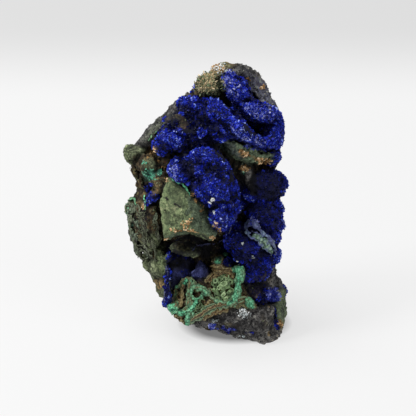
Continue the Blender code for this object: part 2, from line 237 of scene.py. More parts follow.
def cell_noise(points: np.ndarray, size: float, seed: int) -> tuple[np.ndarray, np.ndarray]:
    """Distances to the nearest and second nearest of points that are scattered one to a cube.

    Args:
        points: x, y and z of each point.
        size: a cube's side.
        seed: which noise.

    Returns:
        The two distances, in cube sides.
    """
    scaled = points / size
    cell = np.floor(scaled).astype(np.int64)
    nearest = np.full(len(points), np.inf)
    second = nearest.copy()
    for neighbour in CUBE_NEIGHBOURS:
        here = cell + neighbour
        jitter = np.stack([hashed(here, seed + axis) for axis in range(3)], axis=-1)
        gap = np.linalg.norm(here + jitter - scaled, axis=-1)
        second = np.minimum(second, np.maximum(nearest, gap))
        nearest = np.minimum(nearest, gap)
    return nearest, second


def smoothstep(value: np.ndarray, low: float, high: float) -> np.ndarray:
    """0 below low, 1 above high, and 3t^2 - 2t^3 between them."""
    t = np.clip((value - low) / (high - low), 0, 1)
    return t * t * (3 - 2 * t)


# ---- Shapes that the rock is grown from. Each gives its box and its distance to points around it.


class Shape(Protocol):
    """A form with a name, a box around it and a signed distance."""

    name: str

    def box(self) -> tuple[np.ndarray, np.ndarray]:
        """Its lowest and highest corner."""

    def distance(self, points: np.ndarray) -> np.ndarray:
        """About how far points are outside it, negative inside."""


@dataclass(frozen=True)
class Knob:
    """An ellipsoid on the display face, with half sizes across, up and out, turned in the face."""

    name: str
    across: float
    up: float
    out: float
    wide: float
    tall: float
    deep: float
    turn: float = 0.0

    def axes(self) -> np.ndarray:
        """Its own axes in the part's frame, as columns."""
        c, s = math.cos(math.radians(self.turn)), math.sin(math.radians(self.turn))
        return FACE.axes() @ np.array([[c, -s, 0], [s, c, 0], [0, 0, 1]])

    def box(self) -> tuple[np.ndarray, np.ndarray]:
        """The box around the turned ellipsoid."""
        middle = FACE.place((self.across, self.up, self.out))
        reach = np.sqrt(((self.axes() * (self.wide, self.tall, self.deep)) ** 2).sum(axis=1))
        return middle - reach, middle + reach

    def distance(self, points: np.ndarray) -> np.ndarray:
        """The scaled radius k, times k - 1, over the gradient's length."""
        local = (points - FACE.place((self.across, self.up, self.out))) @ self.axes()
        sizes = np.array((self.wide, self.tall, self.deep))
        radius = np.linalg.norm(local / sizes, axis=-1)
        slope = np.linalg.norm(local / sizes**2, axis=-1)
        return radius * (radius - 1) / np.maximum(slope, SMALL)


@dataclass(frozen=True)
class Hull:
    """A chipped stone: the convex hull of corners given in the part's frame, with rounded edges."""

    # How far the blended faces are moved out again, in roundings.
    OUTSET = 0.5

    name: str
    corners: tuple[tuple[float, float, float], ...]
    rounding: float = 0.5

    def box(self) -> tuple[np.ndarray, np.ndarray]:
        """The box around the corners."""
        corners = np.array(self.corners)
        return corners.min(axis=0), corners.max(axis=0)

    def planes(self) -> tuple[np.ndarray, np.ndarray]:
        """The outward normals of the hull's faces, and how far out each face lies."""
        bm = bmesh.new()
        made = bmesh.ops.convex_hull(bm, input=[bm.verts.new(corner) for corner in self.corners])
        faces = [item for item in made["geom"] if isinstance(item, bmesh.types.BMFace)]
        bmesh.ops.recalc_face_normals(bm, faces=faces)
        middle = Vector(np.mean(self.corners, axis=0))
        normals = []
        depths = []
        for face in faces:
            normal = face.normal if face.normal.dot(face.verts[0].co - middle) > 0 else -face.normal
            normals.append(tuple(normal))
            depths.append(normal.dot(face.verts[0].co))
        bm.free()
        return np.array(normals), np.array(depths)

    def distance(self, points: np.ndarray) -> np.ndarray:
        """The greatest height above any face's plane, with the greatest ones blended at the edges."""
        normals, depths = self.planes()
        heights = (points @ normals.T - depths) / self.rounding
        top = heights.max(axis=-1)
        blend = np.exp(heights - top[:, None]).sum(axis=-1)
        return (top + np.log(blend)) * self.rounding - self.OUTSET * self.rounding


def stone(name: str, corners: Sequence[Sequence[float]], rounding: float = 0.5) -> Hull:
    """A chipped stone whose corners are places on the display face."""
    return Hull(name, tuple(map(tuple, FACE.place(corners))), rounding)


@dataclass(frozen=True)
class Block:
    """A broken stone of the back or a side, upright: middle, half sizes, and turns about x, y and z."""

    name: str
    middle: tuple[float, float, float]
    sizes: tuple[float, float, float]
    turns: tuple[float, float, float]
    corner_count: int = 22
    squareness: float = 3.0
    variants: int = 6
    rounding: float = 0.6

    def hull(self, number: int) -> Hull:
        """The hull of corners scattered on a rounded cube, which is then sized, turned and placed.

        Args:
            number: the block's place in its table, which picks its set of corners.

        Returns:
            The block as a hull.
        """
        dice = random.Random(number % self.variants)
        corners = np.array([[dice.gauss(0, 1) for _ in range(3)] for _ in range(self.corner_count)])
        reach = (np.abs(corners) ** self.squareness).sum(axis=1) ** (1 / self.squareness)
        turn = np.array(Euler([math.radians(angle) for angle in self.turns]).to_matrix())
        placed = (corners / reach[:, None] * self.sizes) @ turn.T + self.middle
        placed += (FACE.shift_x, FACE.shift_y, 0)
        return Hull(self.name, tuple(map(tuple, placed)), self.rounding)


@dataclass(frozen=True)
class Rib:
    """A round roll along a path of face places, smoothed in a few steps between each two."""

    STEPS = 4

    name: str
    radius: float
    path: tuple[tuple[float, float, float], ...]

    def box(self) -> tuple[np.ndarray, np.ndarray]:
        """The box around the roll."""
        path = FACE.place(self.path)
        return path.min(axis=0) - self.radius, path.max(axis=0) + self.radius

    def distance(self, points: np.ndarray) -> np.ndarray:
        """The gap to the nearest stretch of the path, less the radius."""
        return path_gap(points, smooth_path(FACE.place(self.path), self.STEPS)) - self.radius


@dataclass(frozen=True)
class Body:
    """The rock's core: upright superellipse sections, each height, left, right, front and back."""

    name: str
    sections: tuple[tuple[float, float, float, float, float], ...]
    squareness: float = 2.4

    def box(self) -> tuple[np.ndarray, np.ndarray]:
        """The box around the sections."""
        table = np.array(self.sections)
        low = np.array([table[:, 1].min(), table[:, 3].min(), table[0, 0]])
        high = np.array([table[:, 2].max(), table[:, 4].max(), table[-1, 0]])
        shift = np.array([FACE.shift_x, FACE.shift_y, 0])
        return low + shift, high + shift

    def distance(self, points: np.ndarray) -> np.ndarray:
        """The superellipse radius less 1, times the section's half depth, and the height above the top."""
        table = np.array(self.sections)
        x, y, z = points.T
        left, right, front, back = (np.interp(z, table[:, 0], table[:, i]) for i in range(1, 5))
        across = np.abs((x - FACE.shift_x - (left + right) / 2) / ((right - left) / 2))
        along = np.abs((y - FACE.shift_y - (front + back) / 2) / ((back - front) / 2))
        radius = (across**self.squareness + along**self.squareness) ** (1 / self.squareness)
        side = (radius - 1) * (back - front) / 2
        return np.maximum(side, z - table[-1, 0])


def smooth_path(corners: np.ndarray, steps: int) -> np.ndarray:
    """A Catmull-Rom curve through corners: each stretch is a cubic that leaves along its neighbours' chord.

    Args:
        corners: the places that the curve passes through.
        steps: points for each stretch.

    Returns:
        The curve's points.
    """
    ends = np.vstack([2 * corners[0] - corners[1], corners, 2 * corners[-1] - corners[-2]])
    t = np.linspace(0, 1, steps, endpoint=False)[:, None]
    stretches = []
    for before, start, end, after in zip(ends, ends[1:], ends[2:], ends[3:]):
        curve = 2 * start + (end - before) * t
        curve += (2 * before - 5 * start + 4 * end - after) * t**2
        curve += (3 * start - before - 3 * end + after) * t**3
        stretches.append(curve / 2)
    return np.vstack(stretches + [corners[-1:]])


def path_gap(points: np.ndarray, path: np.ndarray) -> np.ndarray:
    """The distance from each point to the nearest stretch of a path.

    Args:
        points: the points, in two or three coordinates.
        path: the corners of the path.

    Returns:
        One distance for each point.
    """
    gap = np.full(len(points), np.inf)
    for start, end in zip(path, path[1:]):
        along = end - start
        t = np.clip((points - start) @ along / (along @ along), 0, 1)
        gap = np.minimum(gap, np.linalg.norm(points - start - t[:, None] * along, axis=-1))
    return gap


# ---- The rock: a field of distances and the surface where it is zero


@dataclass
class Surface:
    """A skin of quads, with what is known of each of its points."""

    points: np.ndarray
    quads: np.ndarray
    normals: np.ndarray
    hollow: np.ndarray
    weights: dict[Mineral, np.ndarray]
    seen: np.ndarray = field(init=False)
    wandering: np.ndarray = field(init=False)
    showing: np.ndarray = field(init=False)
    front_corner: np.ndarray = field(init=False)
    front_depth: np.ndarray = field(init=False)

    def __post_init__(self) -> None:
        """Works out where each point is seen, and whether it is: it must be near the nearest around it."""
        self.seen = FACE.seen(self.points)
        cell = np.floor(self.seen[:, :2] / VISIBLE_SQUARE).astype(int)
        self.front_corner = cell.min(axis=0)
        cell -= self.front_corner
        nearest = np.full(cell.max(axis=0) + 1, NO_ROCK)
        np.maximum.at(nearest, tuple(cell.T), self.seen[:, 2])
        hidden = nearest[tuple(cell.T)] - self.seen[:, 2]
        self.showing = (hidden < VISIBLE_DEPTH).astype(float)
        filled = (nearest > NO_ROCK / 2).astype(float)
        spread = softened(filled, VISIBLE_BLUR)
        depth = softened(nearest * filled, VISIBLE_BLUR) / np.maximum(spread, SMALL)
        self.front_depth = np.where(spread > 0, depth, 0)
        self.wandering = self.seen.copy()
        for axis, seed in enumerate(RIM_SEEDS):
            for number, (reach, size) in enumerate(RIM_WANDER):
                self.wandering[:, axis] += reach * soft_noise(self.points, size, seed + number)

    def ovals(self, spots: Sequence["Spot"]) -> np.ndarray:
        """How much each point belongs to any of some oval patches, with uneven rims."""
        return np.max([spot.share(self.wandering) for spot in spots], axis=0) * self.showing

    def front(self, spots: np.ndarray) -> np.ndarray:
        """The depth of the rock's front at places as seen: nearest depths in small squares, blended.

        Args:
            spots: across and up of each place, as seen.

        Returns:
            One depth for each place.
        """
        scaled = spots / VISIBLE_SQUARE - self.front_corner - 0.5
        scaled = np.clip(scaled, 0, np.array(self.front_depth.shape) - GRID_END)
        cell = np.floor(scaled).astype(int)
        x, y = (scaled - cell).T
        i, j = cell.T
        near = self.front_depth
        left = near[i, j] * (1 - y) + near[i, j + 1] * y
        right = near[i + 1, j] * (1 - y) + near[i + 1, j + 1] * y
        return left * (1 - x) + right * x

    def quad_normals(self) -> np.ndarray:
        """The unit normal of each quad: the cross product of its diagonals."""
        cross = diagonal_cross(self.points, self.quads)
        return cross / np.maximum(np.linalg.norm(cross, axis=1), TINY)[:, None]

    def quad_values(self, values: np.ndarray) -> np.ndarray:
        """The mean of a point value over each quad."""
        return values[self.quads].mean(axis=1)


class RockField:
    """Distances on a grid, negative inside the rock, and the distance to each mineral's own shapes.

    Distances past FAR aren't kept. A shape is worked out to MARGIN around its box, and hollows are bent by
    CARVE_WARP. A mineral has no relief where its share is below LEAST_SHARE.
    """

    FAR = 12.0
    MARGIN = 3.5
    CARVE_WARP = 0.6
    LEAST_SHARE = 0.02

    def __init__(self, low: np.ndarray, high: np.ndarray, pitch: float) -> None:
        """Makes an empty grid.

        Args:
            low: the grid's lowest corner.
            high: its highest corner.
            pitch: the spacing of its points.
        """
        self.low = low
        self.pitch = pitch
        self.shape = tuple(np.ceil((high - low) / pitch).astype(int) + 1)
        self.level = np.full(self.shape, self.FAR, np.float32)
        self.near = {mineral: np.full(self.shape, self.FAR, np.float32) for mineral in Mineral}

    def gaps(self, shape: Shape, warp: float) -> tuple[tuple[slice, ...], np.ndarray]:
        """The part of the grid around a shape, and how far its points are outside the shape.

        Args:
            shape: what is measured.
            warp: how much it is bent out of its regular shape.

        Returns:
            The part of the grid, and one distance for each of its points.
        """
        low, high = shape.box()
        first = np.floor((low - self.MARGIN - self.low) / self.pitch).astype(int)
        last = np.ceil((high + self.MARGIN - self.low) / self.pitch).astype(int) + 1
        spans = tuple(slice(max(a, 0), min(b, size)) for a, b, size in zip(first, last, self.shape))
        ticks = [self.low[i] + self.pitch * np.arange(spans[i].start, spans[i].stop) for i in range(3)]
        grid = np.stack(np.meshgrid(*ticks, indexing="ij"), axis=-1)
        gap = shape.distance(warped(grid.reshape(-1, 3), warp)).astype(np.float32)
        return spans, gap.reshape(grid.shape[:3])

    def grow(self, shape: Shape, mineral: Mineral, blend: float, warp: float) -> None:
        """Joins a shape to the rock: the lesser distance, less a quarter of blend times overlap squared.

        Args:
            shape: what grows.
            mineral: what it is made of.
            blend: how wide the fillet between it and the rest is.
            warp: how much it is bent out of its regular shape.
        """
        spans, gap = self.gaps(shape, warp)
        level = self.level[spans]
        self.level[spans] = np.minimum(level, gap) - fillet(level, gap, blend)
        self.near[mineral][spans] = np.minimum(self.near[mineral][spans], gap)
        LOG.debug("%s has grown, of %s", shape.name, mineral.value)

    def carve(self, shape: Shape, blend: float) -> None:
        """Cuts a shape out of the rock: the greater distance, with the same overlap added."""
        spans, gap = self.gaps(shape, self.CARVE_WARP)
        level = self.level[spans]
        self.level[spans] = np.maximum(level, -gap) + fillet(level, -gap, blend)
        LOG.debug("%s is cut out", shape.name)

    def sample(self, values: np.ndarray, points: np.ndarray) -> np.ndarray:
        """Reads a grid between its points: the corner values, weighted by nearness along each axis.

        Args:
            values: a number for each point of the grid.
            points: where it is read.

        Returns:
            One number for each place.
        """
        scaled = (points - self.low) / self.pitch
        scaled = np.clip(scaled, 0, np.array(self.shape) - GRID_END)
        cell = np.floor(scaled).astype(int)
        part = scaled - cell
        total = np.zeros(len(points))
        for corner in CUBE_CORNERS:
            weight = np.where(corner, part, 1 - part).prod(axis=-1)
            i, j, k = (cell + corner).T
            total += weight * values[i, j, k]
        return total

    def roughen(self, reliefs: dict[Mineral, "Relief"], band: float) -> None:
        """Adds each mineral's relief to the points near the surface, weighted by whose shape is nearest.

        Args:
            reliefs: the relief of each mineral that has one.
            band: how far from the surface points are changed.
        """
        i, j, k = np.nonzero(np.abs(self.level) < band)
        points = self.low + self.pitch * np.stack([i, j, k], axis=-1)
        shares = mineral_shares({m: values[i, j, k] for m, values in self.near.items()})
        height = np.zeros(len(points))
        for mineral, relief in reliefs.items():
            there = shares[mineral] > self.LEAST_SHARE
            height[there] += shares[mineral][there] * relief.height(points[there])
        self.level[i, j, k] -= height.astype(np.float32)

    def cut_floor(self) -> None:
        """Takes away what is below height 0."""
        heights = self.low[2] + self.pitch * np.arange(self.shape[2], dtype=np.float32)
        self.level = np.maximum(self.level, -heights[None, None, :].astype(np.float32))

    def skin(self) -> tuple[np.ndarray, np.ndarray]:
        """The zero surface: one point in each cell it crosses, at the mean of the crossings on its edges.

        Returns:
            The points, and the quads that join the four cells around each crossed edge.
        """
        level = self.level
        cells = tuple(size - 1 for size in self.shape)
        total = np.zeros(cells + (3,), np.float32)
        count = np.zeros(cells, np.float32)
        crossings = []
        for axis in range(3):
            ahead = np.roll(level, -1, axis=axis)
            crossed = (level < 0) != (ahead < 0)
            crossed[tuple(slice(-1, None) if i == axis else slice(None) for i in range(3))] = False
            crossings.append(crossed)
            steepness = np.where(crossed, level - ahead, 1)
            part = np.where(crossed, level / steepness, 0)
            others = [i for i in range(3) if i != axis]
            for first in (0, 1):
                for second in (0, 1):
                    corner = [0, 0, 0]
                    corner[others[0]] = first
                    corner[others[1]] = second
                    pick = tuple(slice(corner[i], corner[i] + cells[i]) for i in range(3))
                    hit = crossed[pick]
                    count += hit
                    total[..., axis] += np.where(hit, part[pick], 0)
                    total[..., others[0]] += hit * first
                    total[..., others[1]] += hit * second
        filled = count > 0
        number = np.full(cells, -1)
        number[filled] = np.arange(filled.sum())
        corner = np.stack(np.nonzero(filled), axis=-1)
        points = self.low + self.pitch * (corner + total[filled] / count[filled][:, None])
        quads = [self.ring_quads(crossings[axis], number, axis) for axis in range(3)]
        return points, np.vstack(quads)

    def ring_quads(self, crossed: np.ndarray, number: np.ndarray, axis: int) -> np.ndarray:
        """The quads around the crossed edges of one direction, wound so that they face out of the rock.

        Args:
            crossed: which edges along the axis the surface crosses.
            number: each cell's point.
            axis: the edges' direction.

        Returns:
            The points of each quad.
        """
        edge = np.stack(np.nonzero(crossed), axis=-1)
        one, two = (axis + 1) % 3, (axis + 2) % 3
        inner = (edge[:, one] > 0) & (edge[:, two] > 0)
        inner &= (edge[:, one] < number.shape[one]) & (edge[:, two] < number.shape[two])
        edge = edge[inner]
        ring = []
        for back_one, back_two in ((1, 1), (0, 1), (0, 0), (1, 0)):
            cell = edge.copy()
            cell[:, one] -= back_one
            cell[:, two] -= back_two
            ring.append(number[tuple(cell.T)])
        quads = np.stack(ring, axis=-1)
        outward = self.level[tuple(edge.T)] < 0
        quads[~outward] = quads[~outward][:, ::-1]
        return quads


def fillet(level: np.ndarray, gap: np.ndarray, blend: float) -> np.ndarray:
    """What a fillet of this width adds where two distances are alike: a quarter of it, overlap squared."""
    overlap = np.maximum(blend - np.abs(level - gap), 0) / blend
    return overlap**2 * blend / 4


def warped(points: np.ndarray, share: float) -> np.ndarray:
    """Points moved by sums of sine waves, up to about a millimetre, so that no shape is regular."""
    shifts = [
        sum(high * np.sin((points / lengths).sum(axis=-1) + start) for high, lengths, start in waves)
        for waves in WAVES
    ]
    return points + share * np.stack(shifts, axis=-1)


def mineral_shares(gaps: dict[Mineral, np.ndarray], sharpness: float = 2.5) -> dict[Mineral, np.ndarray]:
    """How much of each mineral there is at points: exp(-sharpness * gap), made to sum to 1.

    Args:
        gaps: the distance from each point to each mineral's shapes.
        sharpness: how suddenly one mineral gives way to the next.

    Returns:
        A share from 0 to 1 for each mineral and point.
    """
    lowest = np.min(list(gaps.values()), axis=0)
    shares = {mineral: np.exp(-sharpness * (gap - lowest)) for mineral, gap in gaps.items()}
    total = np.sum(list(shares.values()), axis=0)
    return {mineral: share / total for mineral, share in shares.items()}


@dataclass(frozen=True)
class Relief:
    """How a mineral's surface rises and falls: folds, round lobes, cracks between grains, and unevenness.

    Folds, lobes and cracks are pairs of a size and a height, and each kind has its own seeds. Folds run down
    to the right, fold_length times as long as wide. ROUND is the squared distance from a lobe's middle at
    which it crosses the mean, and CRACK_WIDTH is a crack's width, both in cells.
    """

    ROUND = 0.3
    CRACK_WIDTH = 0.35
    SOFT_LAYERS = 3
    LOBE_SEED = 10
    CRACK_SEED = 20
    FOLD_SEED = 30

    folds: tuple[tuple[float, float], ...] = ()
    fold_turn: float = -36.0
    fold_length: float = 2.2
    lobes: tuple[tuple[float, float], ...] = ()
    cracks: tuple[tuple[float, float], ...] = ()
    soft_size: float = 5.0
    soft_height: float = 0.0
    upright: float = 1.0
    seed: int = 1

    def height(self, points: np.ndarray) -> np.ndarray:
        """Folds and lobes fall with the squared distance to the nearest cell; cracks are between two cells.

        Args:
            points: x, y and z of each point.

        Returns:
            The height to add at each point.
        """
        local = (points - FACE.middle()) @ FACE.axes()
        turn = math.radians(self.fold_turn)
        fold = np.array((math.cos(turn), math.sin(turn), 0))
        local -= (local @ fold)[:, None] * fold * (1 - 1 / self.fold_length)
        points = points * (1, 1, 1 / self.upright)
        height = self.soft_height * layered_noise(points, self.soft_size, self.SOFT_LAYERS, self.seed)
        rounds = ((local, self.FOLD_SEED, self.folds), (points, self.LOBE_SEED, self.lobes))
        for places, first_seed, pairs in rounds:
            for number, (size, rise) in enumerate(pairs):
                nearest, _ = cell_noise(places, size, self.seed + first_seed + number)
                height += rise * (self.ROUND - nearest**2)
        for number, (size, depth) in enumerate(self.cracks):
            nearest, second = cell_noise(points, size, self.seed + self.CRACK_SEED + number)
            height -= depth * (1 - smoothstep(second - nearest, 0.0, self.CRACK_WIDTH))
            height += depth * 0.5 * (nearest - 0.5)
        return height


@dataclass(frozen=True)
class Spot:
    """An oval patch of one mineral, seen from the front: its middle, half sizes, turn and strength.

    It fades out over its rim, between these two radii.
    """

    RIM = (0.7, 1.2)

    mineral: Mineral
    across: float
    up: float
    wide: float
    tall: float
    turn: float = 0.0
    strength: float = 1.0

    def share(self, seen: np.ndarray) -> np.ndarray:
        """The strength inside the oval, fading out over its rim."""
        c, s = math.cos(math.radians(self.turn)), math.sin(math.radians(self.turn))
        x, y = seen[:, 0] - self.across, seen[:, 1] - self.up
        radius = np.hypot((c * x + s * y) / self.wide, (c * y - s * x) / self.tall)
        return self.strength * (1 - smoothstep(radius, *self.RIM))


def patches(*groups: tuple) -> tuple[Spot, ...]:
    """Oval patches from groups: each a mineral, then the numbers of every patch of it.

    Args:
        *groups: the groups, in the order in which the patches are laid.

    Returns:
        The patches.
    """
    return tuple(Spot(mineral, *row) for mineral, *rows in groups for row in rows)


@dataclass(frozen=True)
class Growing:
    """A group of shapes of one mineral, and the fillet that joins them to the rock."""

    mineral: Mineral
    blend: float
    shapes: tuple[Shape, ...]
    warp: float = 1.0


@dataclass
class Rock:
    """The whole lump: everything that grows, what is cut out of it, and its relief and patches.

    It overhangs itself, so no surface of two parameters could follow it. Its shapes are joined in a field of
    distances instead, and the skin is where the field is zero. How far a point is sunk is read from the field
    blurred a little and blurred a lot, and the finishes darken sunk points as painted shade. The sage stone's
    faces that turn to the right are painted in the slate colour: painted shade on the side away from the key
    lamp, and the darker colour of the stone's broken face.
    """

    groups: tuple[Growing, ...]
    hollows: tuple[Shape, ...]
    reliefs: dict[Mineral, Relief]
    spots: tuple[Spot, ...]
    finish: "RockFinish"
    pitch: float = 0.5
    margin: float = 4.0
    carve_blend: float = 1.2
    relief_band: float = 3.0
    near_blur: int = 5
    far_blur: int = 19
    sunk_range: tuple[float, float] = (-0.9, 0.4)
    # Over this turn to the right the sage stone goes to slate: painted shade, with the broken face's darker
    # colour.
    slate_range: tuple[float, float] = (0.1, 0.26)
    triangles: int = 190000
    surface: Surface | None = field(default=None, init=False)

    def build(self) -> bpy.types.Object:
        """Grows the field, takes its skin, and stores how much of each mineral every point has.

        Returns:
            The rock's object.
        """
        low, high = (np.array(corner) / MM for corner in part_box(NODE))
        grid = RockField(low - self.margin, high + self.margin, self.pitch)
        for group in self.groups:
            for shape in group.shapes:
                grid.grow(shape, group.mineral, group.blend, group.warp)
        for hollow in self.hollows:
            grid.carve(hollow, self.carve_blend)
        grid.roughen(self.reliefs, self.relief_band)
        grid.cut_floor()
        points, quads = grid.skin()
        normals = point_normals(points, quads)
        # Painted shade: how sunk each point is, from the field blurred a little and a lot, darkens the rock
        # and its grains in hollows and creases.
        near_by = softened(grid.level, self.near_blur)
        sunk = -grid.sample(near_by, points) - grid.sample(softened(near_by, self.far_blur), points)
        hollow = smoothstep(sunk, *self.sunk_range)
        weights = mineral_shares({m: grid.sample(v, points) for m, v in grid.near.items()})
        self.surface = Surface(points, quads, normals, hollow, weights)
        self.paint()
        attributes = {mineral.value: share for mineral, share in self.surface.weights.items()}
        attributes["hollow"] = hollow
        rock = make_mesh("rock", points, quads, attributes, True, self.finish.material())
        thin_out(rock, self.triangles)
        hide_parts(NODE)
        return rock

    def paint(self) -> None:
        """Makes the sage stone's right faces slate, as painted shade and darker broken stone, and adds the
        oval patches to the front.
        """
        weights = self.surface.weights
        # Painted shade: faces that turn to the right, away from the key lamp, go over to the darker slate
        # colour, which is also the darker colour of the stone's broken face.
        to_the_right = self.surface.normals @ FACE.axes()[:, 0]
        turned = smoothstep(to_the_right, *self.slate_range) * weights[Mineral.SAGE]
        weights[Mineral.SAGE] -= turned
        weights[Mineral.SLATE] += turned
        for spot in self.spots:
            share = self.surface.ovals((spot,))
            for mineral in weights:
                weights[mineral] *= 1 - share
            weights[spot.mineral] += share


def thin_out(piece: bpy.types.Object, triangles: int) -> None:
    """Thins a piece's flatter parts.

    Args:
        piece: the object that is thinned.
        triangles: about how many it keeps.
    """
    thin = piece.modifiers.new("thin", "DECIMATE")
    thin.ratio = min(1.0, triangles / (2 * len(piece.data.polygons)))
    graph = bpy.context.evaluated_depsgraph_get()
    mesh = bpy.data.meshes.new_from_object(piece.evaluated_get(graph))
    piece.modifiers.clear()
    piece.data = mesh
    LOG.info("%s: thinned to %d faces", piece.name, len(mesh.polygons))


def softened(level: np.ndarray, times: int) -> np.ndarray:
    """A grid averaged with its neighbours along each axis, over and over."""
    for _ in range(times):
        for axis in range(level.ndim):
            level = (np.roll(level, 1, axis) + np.roll(level, -1, axis) + level) / 3
    return level


def diagonal_cross(points: np.ndarray, quads: np.ndarray) -> np.ndarray:
    """The cross product of each quad's diagonals: its normal, twice its area long."""
    a, b, c, d = (points[quads[:, i]] for i in range(4))
    return np.cross(c - a, d - b)


def point_normals(points: np.ndarray, quads: np.ndarray) -> np.ndarray:
    """The unit normal of each point: the sum of its quads' diagonal cross products."""
    cross = diagonal_cross(points, quads)
    total = np.zeros_like(points)
    for i in range(4):
        for axis in range(3):
            total[:, axis] += np.bincount(quads[:, i], cross[:, axis], len(points))
    return total / np.maximum(np.linalg.norm(total, axis=1), TINY)[:, None]


def make_mesh(
    name: str,
    points: np.ndarray,
    faces: np.ndarray | list,
    attributes: dict[str, np.ndarray],
    smooth: bool,
    material: bpy.types.Material,
) -> bpy.types.Object:
    """Makes an object of the part's body from points in millimetres.

    Args:
        name: the object's name.
        points: x, y and z of each point.
        faces: the points of each face.
        attributes: numbers for each point, by name, for its material.
        smooth: whether its faces are shaded smooth.
        material: its finish.

    Returns:
        The object, which rides on the part's body and has its material in a slot.
    """
    mesh = bpy.data.meshes.new(name)
    mesh.from_pydata(np.asarray(points, float) * MM, [], faces, shade_flat=not smooth)
    for key, values in attributes.items():
        layer = mesh.attributes.new(key, "FLOAT", "POINT")
        layer.data.foreach_set("value", np.asarray(values, np.float32))
    mesh.update()
    mesh.materials.append(material)
    piece = bpy.data.objects.new(name, mesh)
    bpy.context.scene.collection.objects.link(piece)
    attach(piece, BODY)
    LOG.info("%s: %d points, %d faces", name, len(points), len(mesh.polygons))
    return piece


# ---- Finishes


def linear(colour: str) -> tuple[float, float, float, float]:
    """Turns a hex colour as it looks on a screen into the linear colour that light works with."""
    parts = [int(colour[i : i + 2], 16) / 255 for i in (1, 3, 5)]
    return (*(c / 12.92 if c <= 0.04045 else ((c + 0.055) / 1.055) ** 2.4 for c in parts), 1.0)


@dataclass(frozen=True)
class Cloud:
    """Soft noise in patches of a size in millimetres, which are about PATCH of its unit across."""

    PATCH = 0.6

    size: float
    detail: float = 3.0
    rough: float = 0.6

    def inputs(self) -> dict[str, float]:
        """What a noise node takes."""
        return {"Scale": self.PATCH / (self.size * MM), "Detail": self.detail, "Roughness": self.rough}


def grains(size: float) -> dict[str, float]:
    """What a cell node takes for grains of this many millimetres."""
    return {"Scale": 1 / (size * MM)}


@dataclass
class Recipe:
    """A material that is being put together."""

    material: bpy.types.Material

    @staticmethod
    def named(name: str) -> "Recipe":
        """Starts a material with one surface shader."""
        material = bpy.data.materials.new(name)
        material.use_nodes = True
        return Recipe(material)

    def fill(self, node: bpy.types.Node, inputs: dict[str | int, object]) -> None:
        """Sets or links a node's inputs, by name or by place."""
        for key, value in inputs.items():
            if isinstance(value, bpy.types.NodeSocket):
                self.material.node_tree.links.new(value, node.inputs[key])
            else:
                node.inputs[key].default_value = value

    def add(
        self,
        kind: str,
        *values: object,
        inputs: dict[str | int, object] | None = None,
        output: str | int = 0,
        stops: Sequence[tuple[float, str]] = (),
        **settings: object,
    ) -> bpy.types.NodeSocket:
        """Adds a node with its settings and links.

        Args:
            kind: the node's type, without the words that all types begin with.
            *values: a number, a colour or another node's output for each of its first inputs.
            inputs: the same for inputs by name or by place.
            output: which output to give.
            stops: the places and colours of a colour ramp.
            **settings: the node's own properties.

        Returns:
            The output.
        """
        node = self.material.node_tree.nodes.new("ShaderNode" + kind)
        for key, value in settings.items():
            setattr(node, key, value)
        self.fill(node, {**dict(enumerate(values)), **(inputs or {})})
        for number, (where, colour) in enumerate(stops):
            elements = node.color_ramp.elements
            element = elements[number] if number < len(elements) else elements.new(where)
            element.position = where
            element.color = linear(colour)
        return node.outputs[output]

    def maths(self, operation: str, *values: object, **settings: object) -> bpy.types.NodeSocket:
        """One sum of one to three numbers."""
        return self.add("Math", *values, operation=operation, **settings)

    def mix(self, share: object, one: object, other: object) -> bpy.types.NodeSocket:
        """One colour where the share is 0 and the other where it is 1."""
        return self.add("Mix", inputs={0: share, 6: one, 7: other}, output=2, data_type="RGBA")

    def surface(self, **values: object) -> None:
        """Sets or links the shader's inputs, with spaces in their names written as underscores."""
        shader = self.material.node_tree.nodes["Principled BSDF"]
        self.fill(shader, {key.replace("_", " "): value for key, value in values.items()})


